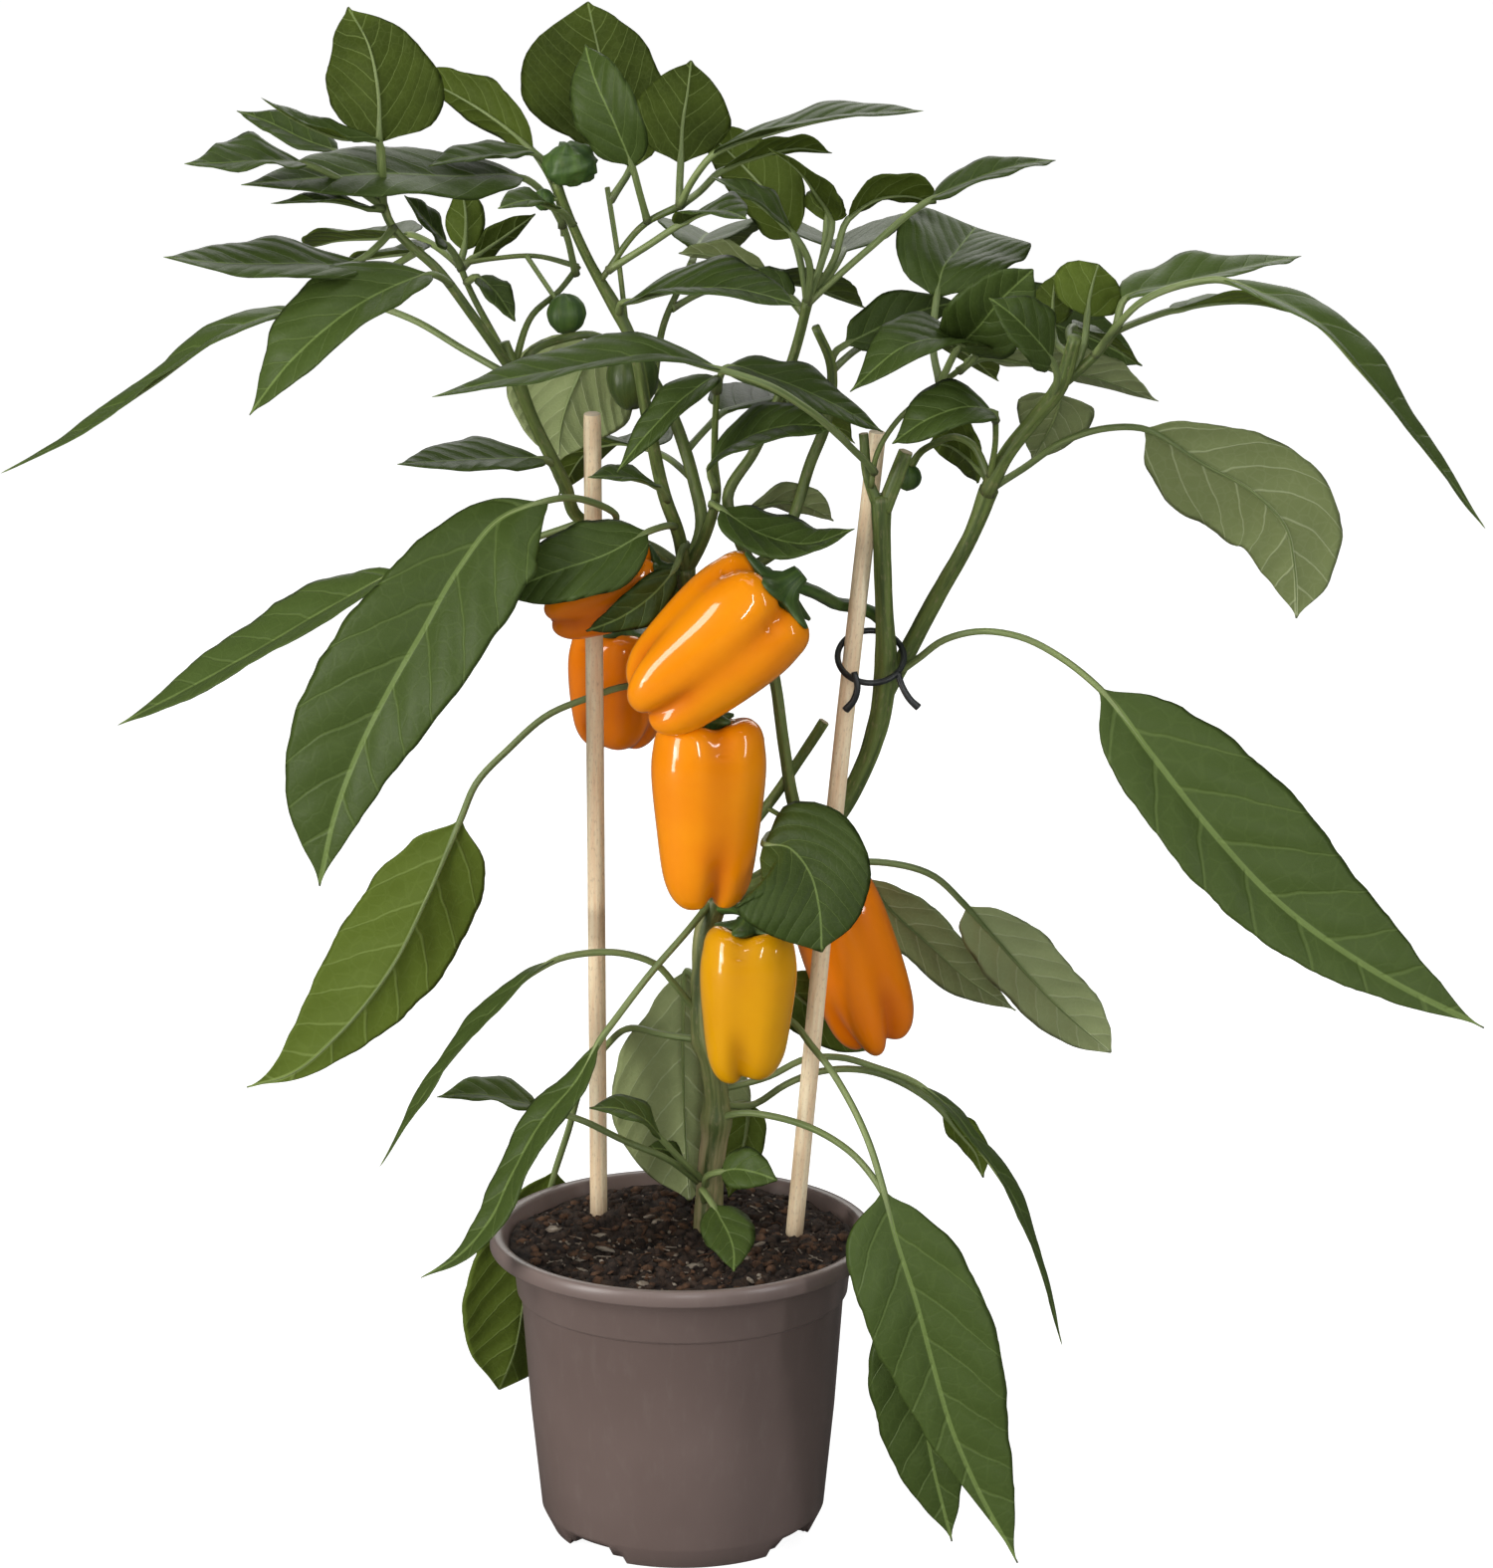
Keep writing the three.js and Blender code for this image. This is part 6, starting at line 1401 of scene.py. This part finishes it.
# the left branch
crown["shootLeft"] = dict(
    stems=[
        twig([(2, 384, -8), (-10, 393, -18), (-25, 399, -22), (-38, 405, -20), (-44, 419, -6),
              (-56, 444, 0), (-63, 463, 2), (-66.5, 473, 2)], 2.4, 2.4, 2.4, 2.4, 2.4, 2.3, 2.8, 2.3),
        twig([(-63, 462, 2), (-77, 482, 8), (-90, 500, 11), (-109, 520, 12), (-111, 526, 12)],
             2, 1.8, 1.8, 1.6, 1.8),
        twig([(-63, 462, 2), (-68, 472, -4), (-80, 496, -15), (-83, 504, -18)], 1.5, 1.3, 1.2, 1.3),
        twig([(-63, 462, 2), (-55, 484, -8), (-45, 493, -14), (-38, 502, -18)], 1.4, 1.2, 1.1, 1.2),
        twig([(-83, 503, -18), (-70, 505, -20), (-54, 506, -20), (-38, 502, -18)], 1.1, 0.9, 0.9, 1.1),
        twig([(-62, 460, 2), (-55.5, 469.5, 0), (-46, 473.7, -4), (-31, 475.3, -8), (-21, 468, -9)],
             2, 1.6, 1.5, 1.6, 2),
    ],
    leaves=[
        blade([(-111, 525, 12), (-111.5, 538, 13), (-112, 549, 13)],
              [(-112, 566, 12), (-115, 584, 9), (-123, 600, 2)],
              (24, 20), (0, 1, 0.2), fold=10, shape=((0.5, 1.2), (0.6, 0.8)), tone=0.08),
        blade([(-111, 525, 12), (-111, 540, 18), (-112, 549, 20)],
              [(-127, 551, 24), (-142, 557, 28), (-156, 566, 32)], 11, (0, -0.2, 1)),
        blade([(-111, 526, 12), (-118, 538, 4), (-127, 545, 0)],
              [(-140, 550, -4), (-152, 556, -8), (-165, 561, -12)], 9, (0, -0.4, 1)),
        blade([(-111, 525, 12), (-125, 534, 18), (-140, 541, 24)],
              [(-157, 542, 30), (-172, 541, 34), (-185, 541, 36)], 15, (0, -0.3, 1), wave=3),
        blade([(-39, 499, -17), (-44, 518, -10), (-57, 535, -2)],
              [(-85, 536, 6), (-112, 537, 14), (-140, 535, 22), (-164, 533, 28)],
              22, (0, -0.35, 1), fold=4),
        blade([(-111, 524, 12), (-114, 524, 16)], [(-130, 527, 24), (-153, 526, 30)], 7, (0, -0.2, 1)),
        blade([(-43, 514, -12), (-46, 530, -16), (-54, 545, -20)],
              [(-66, 556, -26), (-83, 567, -32), (-100, 575, -40)], 13, (0, 1, 0.6)),
        blade([(-44, 517, -10), (-46, 532, -6), (-54, 545, -4)],
              [(-68, 544, 0), (-82, 543, 4), (-94, 540, 8)], 10, (0, -0.2, 1)),
        blade([(-107, 517, 12), (-113, 510, 17), (-119, 505, 20)],
              [(-145, 503, 28), (-170, 503, 34), (-193.6, 505.6, 40)], 18, (0, -0.3, 1), fold=8, tone=0.35),
        blade([(-98, 508, 12), (-110, 501, 2), (-120, 497, -2)], [(-130, 495, -6), (-139, 491, -10)],
              9, (0, 0.8, 0.6)),
        blade([(-86, 495, 10), (-90, 498, 16), (-93, 499, 20)],
              [(-110, 493, 28), (-128, 482, 36), (-146, 466, 42), (-162.5, 445, 46)],
              (16, 21), (-0.3, -0.6, 0.7), tone=0.5),
        blade([(-98, 508, 12), (-97, 508, 8)], [(-112, 506, 0), (-128, 503, -8)], 12, (0, 0, 1)),
        blade([(-62, 459, 1), (-81, 470, -4), (-101, 482, -8), (-120, 488, -12), (-141, 486, -16)],
              [(-170, 477, -20), (-200, 456, -24), (-230, 436, -28), (-257, 422.5, -32)],
              19, (-0.35, -0.05, 1), fold=8, tone=0.6),
        blade([(-48, 426, -4), (-52, 428, 4)], [(-70, 428, 14), (-90, 427, 24), (-107, 426, 32)],
              15, (0, -0.3, 1), fold=8),
        blade([(-83, 503, -18), (-92, 510, -28), (-100, 514, -36)],
              [(-114, 513, -50), (-128, 512, -66), (-140, 509, -82)], 18, (-0.1, 0.2, 1)),
        blade([(-82, 501, -17), (-84, 506, -13), (-87, 510, -9)], [(-94, 518, -5), (-103, 529, -1)],
              8, (0, -0.6, 0.8), tone=0.1),
        blade([(-83, 502, -18), (-81, 508, -21)], [(-80, 520, -24), (-82, 534, -29)], 8, (0, 1, 0.4)),
        blade([(-82, 501, -17), (-78, 505, -20)], [(-68, 512, -24), (-54, 522, -29)],
              7, (0, 1, 0.5), tone=0.1),
        blade([(-80, 496, -15), (-76, 498, -11)], [(-70, 493, -7), (-62, 481, -3)], 6, (0, -0.4, 1)),
    ],
    buds=[
        bud((-18.5, 460, -9), 10, tall=1.25),
        bud((-43, 484, -9), 7.5, root=(-57.5, 506, -20)),
    ],
)
# the right branch
crown["shootRight"] = dict(
    stems=[
        twig([(116, 415, 14), (124, 431, 18), (134, 444, 20), (143, 456, 22), (148.8, 475, 24)],
             3.2, 2.9, 2.8, 2.9, 2.5),
        twig([(144, 457, 22), (151, 463, 22), (158, 470, 22), (165, 480, 22)], 2, 1.8, 1.7, 1.8),
        twig([(117, 421, 16), (119, 434, 22), (119, 446, 26)], 1.3, 1.1, 1.2),
        twig([(117, 420, 14), (111, 433, 8), (104, 436.5, 2), (96, 434, -5), (90, 430, -10),
              (87, 425, -13)], 1.6, 1.4, 1.3, 1.3, 1.4, 1.6),
    ],
    leaves=[
        blade([(119, 443, 25), (118, 446, 28)], [(108, 448, 32), (95, 444, 36), (80, 434, 38)],
              14, (0, -0.5, 0.85)),
        blade([(117, 418, 12), (114, 423, 2)], [(108, 429, -6), (102, 433, -12), (94, 434, -20)],
              13, (0, 1, 0.3)),
        blade([(148, 461, 22), (152, 472, 20), (153, 483, 18)],
              [(153.5, 489, 16), (155, 496, 14), (157, 503, 10)],
              (15, 14), (0, 1, 0.3), shape=(0.6, 0.5), tone=0.6),
        blade([(138, 449, 20), (142, 456, 6), (143, 453, -2)],
              [(142, 446, -8), (138, 437, -14), (133, 428, -20)], 15, (0, 1, 0), tone=0.4, under="pale"),
        blade([(164, 478, 22), (166, 488, 20)], [(185, 495, 14), (210, 501, 8), (233, 506, 0)],
              16, (0, -0.1, 1), tone=0.7),
        blade([(156, 468, 22), (164, 479, 30), (174, 489, 36), (193, 496, 42), (201, 497, 44)],
              [(222, 490, 48), (240, 480, 50), (255, 464, 52), (285, 427, 54), (305, 401, 56)],
              (20, 17), (0.5, -0.25, 1), fold=12, tone=0.8, crinkle=0.4),
        blade([(163, 477, 22), (175, 482, 12), (184, 485, 6)],
              [(200, 488, 0), (216, 488, -6), (232, 484, -12)], 13, (0, 0.3, 1), tone=0.8),
        blade([(118, 417, 14), (129, 424, 4), (145, 435, -6), (161, 440, -12), (174, 440, -16)],
              [(198, 426, -22), (217, 415, -28), (229, 402, -34), (233, 385, -40), (234, 366, -46)],
              (24, 23), (0, 1, 0.2), fold=8, shape=((0.7, 1), (0.9, 0.8)), tone=0.3, under="pale"),
        blade([(148, 470, 23), (146, 477, 14), (148, 479, 8)], [(158, 475, 2), (173.5, 464, -6)],
              8, (0, -0.3, 1)),
        blade([(147, 468, 23), (141, 474, 14), (140, 480, 10)], [(140, 488, 6), (141, 499, 0)],
              8, (0, 1, 0.3)),
        blade([(140, 452, 21), (142, 460, 28), (140, 466, 32)],
              [(132, 476, 36), (124, 484, 38), (116, 490, 38)], 13, (-0.3, -0.6, 0.7)),
    ],
    buds=[
        bud((86, 421, -13), 5),
    ],
)

leaves = dict(
    leafLeftLarge=dict(
        stalk=[(-26, 399.5, -22), (-25, 407, -4), (-41, 413, 12), (-50, 412, 22)],
        rib=[(-68, 405, 28), (-84, 385.5, 34), (-98.5, 360, 40), (-111, 338, 43), (-122.5, 315, 44),
             (-132, 290, 44), (-139, 260, 42)],
        half=(29, 29), face=(-0.3, -1, 0.35), fold=12, shape=((0.35, 1), (1.05, 0.8)), tone=0.42),
    leafOverFruit=dict(
        stalk=[(-2, 402, 1), (-6, 402, 14), (-12, 400, 22)],
        rib=[(-28, 391, 28), (-48, 384, 30), (-70, 375, 28)],
        half=17, face=(0, -0.8, 0.8), fold=6, tone=0.3),
    leafUnderFruit=dict(
        stalk=[(2, 395, -5), (0, 392, 10), (-2, 386, 20)],
        rib=[(-10, 376, 24), (-22, 367, 25), (-36, 361, 22)],
        half=8, face=(0.4, -0.8, 0.2), fold=8, tone=0.1),
    leafLeftArching=dict(
        stalk=[(-36, 404, -20.5), (-60, 396, -26), (-90, 388, -32), (-105, 385, -38)],
        rib=[(-130, 372, -44), (-160, 354, -50), (-190, 337, -56), (-215, 324, -60)],
        half=18, face=(-0.3, -0.35, 1), tone=0.7),
    leafLeftHanging=dict(
        stalk=[(8, 336, -8), (-5, 339, -16), (-20, 339.5, -20.5), (-36, 334.5, -22), (-50, 328.5, -24),
               (-66, 314.5, -26), (-79, 300, -28), (-84, 288, -29)],
        rib=[(-98, 255, -32), (-112, 227, -36), (-133, 200, -40), (-152, 184, -44), (-168.5, 179, -46)],
        half=(26, 22), face=(0.2, 1, 0.3), fold=20, shape=((0.85, 1.1), (0.7, 1.6)), tone=0.7, under="lit"),
    leafLeftNarrow=dict(
        stalk=[(6, 209, -2), (-3, 221, 2), (-9, 228, 4), (-22, 233, 6), (-38, 233, 10), (-47, 231, 14)],
        rib=[(-57, 226, 18), (-70, 213, 22), (-92, 187, 28), (-117.5, 146.5, 34)],
        half=15, face=(-0.7, -0.03, 0.7), fold=8, tone=0.5),
    leafLeftDraped=dict(
        stalk=[(13, 256, -2), (3, 243, 8), (-12, 225, 14), (-26, 206, 18), (-31, 199, 20)],
        rib=[(-41, 181, 24), (-54, 165, 30), (-66, 143, 38), (-75, 124, 46), (-88, 109, 52),
             (-102, 101, 56)],
        half=(15, 10), face=(-0.75, -0.5, 0.3), fold=14, tone=0.45),
    leafLeftSmall=dict(
        stalk=[(7, 140, -4), (-8, 151, 6), (-22, 157, 8), (-40, 166, 8), (-54, 170, 8)],
        rib=[(-68, 174, 10), (-80, 176, 12), (-95, 175, 14)],
        half=(9, 12), face=(0, -0.25, 1), tone=0.75),
    leafLeftBehind=dict(
        stalk=[(8, 198, -2), (-8, 200.5, -12), (-19, 203, -22), (-29, 196, -38), (-38, 182, -48),
               (-44.5, 160, -56), (-49, 146, -60)],
        rib=[(-57, 120, -64), (-62, 92, -67), (-66, 70, -68), (-72, 54.5, -68)],
        half=(25, 24), face=(-0.5, 1, 0.2), fold=12, shape=(0.75, 0.55), tone=0.6, under="lit"),
    leafBehindTrunk=dict(
        stalk=[(9, 214, -3), (6, 222, -16), (2, 226, -28)],
        rib=[(0.5, 205, -34), (0.5, 180, -38), (1.5, 152, -41), (3, 132, -43)],
        half=(29, 27), face=(0, 1, 0.1), fold=8, shape=(1.2, 0.9), tone=0.6, under="pale"),
    leafBehindRight=dict(
        stalk=[(14, 168, -5), (21, 172, -20), (25, 172, -26)],
        rib=[(25, 162, -28), (22, 148, -27), (18, 134, -28)],
        half=9, face=(0, 1, 0.1), tone=0.5, under="lit"),
    leafFrontMiddle=dict(
        stalk=[(46, 279, -11), (40, 281, -1), (34.5, 281, 14), (32.5, 279, 28), (31.5, 277, 34)],
        rib=[(41, 275.5, 40), (49, 266, 46), (53, 251, 52), (54, 233.5, 56)],
        half=(24, 32), face=(0.1, -1, 0.2), fold=6, shape=((0.7, 1), (0.6, 0.6)), tone=0.12, crinkle=0.35),
    leafBehindMiddle=dict(
        stalk=[(10, 232, -2), (22, 232, -30), (36, 224, -54)],
        rib=[(48, 213, -60), (60, 203, -62), (76, 194, -62)],
        half=15, face=(0, 1, 0.2), tone=0.5, under="lit"),
    leafRightPale=dict(
        stalk=[(48, 274, -11), (57, 272, -9), (69, 270, -8.5), (78, 269.5, -11), (97, 264, -18),
               (109, 252.5, -22)],
        rib=[(121, 239, -28), (133, 225, -34), (148, 209, -40), (166, 193, -46)],
        half=(17, 16), face=(0.1, 1, 0.4), fold=14, shape=(0.55, 0.55), tone=0.8, under="pale"),
    leafRightInner=dict(
        stalk=[(45, 272, -11), (52, 278, -34), (62, 274, -56), (70, 264, -60)],
        rib=[(80, 251, -62), (94, 238, -64), (110, 223, -64), (129, 210, -62)],
        half=(15, 13), face=(0.1, 1, 0.4), fold=12, tone=0.5, under="pale"),
    leafRightLarge=dict(
        stalk=[(83, 345, -6), (90, 350, 0), (100, 357.5, 8), (115, 361, 16), (130, 358.5, 22),
               (145, 350.5, 28), (158, 340, 32)],
        rib=[(180, 312, 46), (200, 286, 56), (230, 253, 66), (270, 224, 76), (310, 203, 82)],
        half=(32, 19), face=(0.1, -1, 0.4), fold=12, shape=((0.85, 1.2), (0.6, 1.15)), tone=0.5),
    leafRightFront=dict(
        stalk=[(11, 208, -2), (42, 206, 8), (50, 196, 20), (57, 187, 28), (63, 177, 36), (69, 165, 44),
               (73, 155, 50), (78, 138, 58)],
        rib=[(83, 118, 64), (91, 92, 70), (98, 65, 74), (105, 40, 78), (116, 13, 82), (132, -18, 88)],
        half=(27, 22), face=(0, -1, 0.15), fold=12, shape=((0.75, 1.05), (0.6, 1.9)), tone=0.52),
    leafRightUnder=dict(
        stalk=[(13, 166, -4), (24, 168.5, 4), (38, 166.5, 10), (53, 161, 16), (66, 152, 22), (75, 141, 30),
               (88, 108, 40)],
        rib=[(91, 88, 42), (93, 60, 44), (97, 30, 46), (106, -9, 50)],
        half=20, face=(-0.2, -1, 0.2), tone=0.35),
    leafRightTrailing=dict(
        stalk=[(14, 178, -4), (34, 183.5, -12), (48, 190.5, -14), (62, 191, -14), (75, 187, -12),
               (90, 181, -8)],
        rib=[(104, 170, -4), (115, 155, 0), (129, 133, 4), (139, 107, 6), (148.5, 73, 8)],
        half=11, face=(0.75, -0.1, 0.4), fold=8, tone=0.5),
    leafRightFolded=dict(
        stalk=[(13, 172, -4), (29, 172.5, -18), (40, 180, -20), (54, 185.5, -22), (70, 186, -24),
               (90, 178, -26), (101, 169, -26)],
        rib=[(107, 161, -26), (114, 152, -26), (117, 142, -26)],
        half=(6, 8), face=(0.3, 1, 0.3), tone=0.5, under="lit"),
    leafBaseNarrow=dict(
        stalk=[(8, 141, -3), (-1, 150, 10), (-8, 158, 18)],
        rib=[(-15, 166, 24), (-24, 170, 28), (-36, 170.5, 32)],
        half=8, face=(0, -0.5, 1), tone=0.4),
    leafBaseShort=dict(
        stalk=[(7, 136, -6), (3, 145, -12), (0, 149, -14)],
        rib=[(-6, 153, -16), (-15, 154, -18)],
        half=5, face=(0, -0.4, 1), tone=0.3),
    leafBaseRight=dict(
        stalk=[(9, 138, -2), (10, 143, 8), (15, 144.5, 14)],
        rib=[(22, 145.5, 20), (29, 144, 24), (37, 141, 28)],
        half=9, face=(0.1, -1, 0.6), tone=0.5),
    leafBaseFront=dict(
        stalk=[(9, 132, -1), (8, 137, 10), (12, 131, 18)],
        rib=[(15, 125, 26), (18, 119, 33), (20, 112, 42), (20, 103.5, 52)],
        half=(10, 10), face=(0.1, -0.8, 0.6), fold=8, tone=0.35),
)


def nodeOf(name):
    return re.sub(r"([A-Z])", lambda letter: "_" + letter.group(1).lower(), name)


makePot()
makeSoil()
print("pot and soil are ready")
caneWood = makeCaneFinish()
for name, cane in canes.items():
    makeCane(name, cane["route"], cane["band"], caneWood)
makeClip()
print("canes and clip are ready")

mainSkin = Skin(stemSkin)
for stem in mainStems:
    addStem(mainSkin, finish=stemSkin, sides=20, rib=0.07, spacing=2.5, wobble=0.06, **stem)
mainSkin.piece("mainStem", "main_stem")

for name, fruit in fruits.items():
    makeFruit(name, fruit["shape"], fruitSkins[fruit["skin"]], nodeOf(name))
    makeCap(name + "Cap", fruit["shape"], fruit["stalk"], nodeOf(name) + "_cap", fruit.get("capSize", 1))
print("fruits are ready")

seed = 0
for name, shoot in crown.items():
    skin = Skin(stemSkin)
    for stem in shoot["stems"]:
        addStem(skin, finish=stemSkin, sides=14, rib=0.08, joint=0.5, **stem)
    for leaf in shoot["leaves"]:
        seed += 1
        addLeaf(skin, seed, **leaf)
    for small in shoot.get("buds", ()):
        addBud(skin, **small)
    skin.piece(name, nodeOf(name))
print("crown is ready")

for name, leaf in leaves.items():
    seed += 1
    skin = Skin(leafUpper)
    addLeaf(skin, seed, **leaf)
    skin.piece(name, nodeOf(name))
print("leaves are ready")
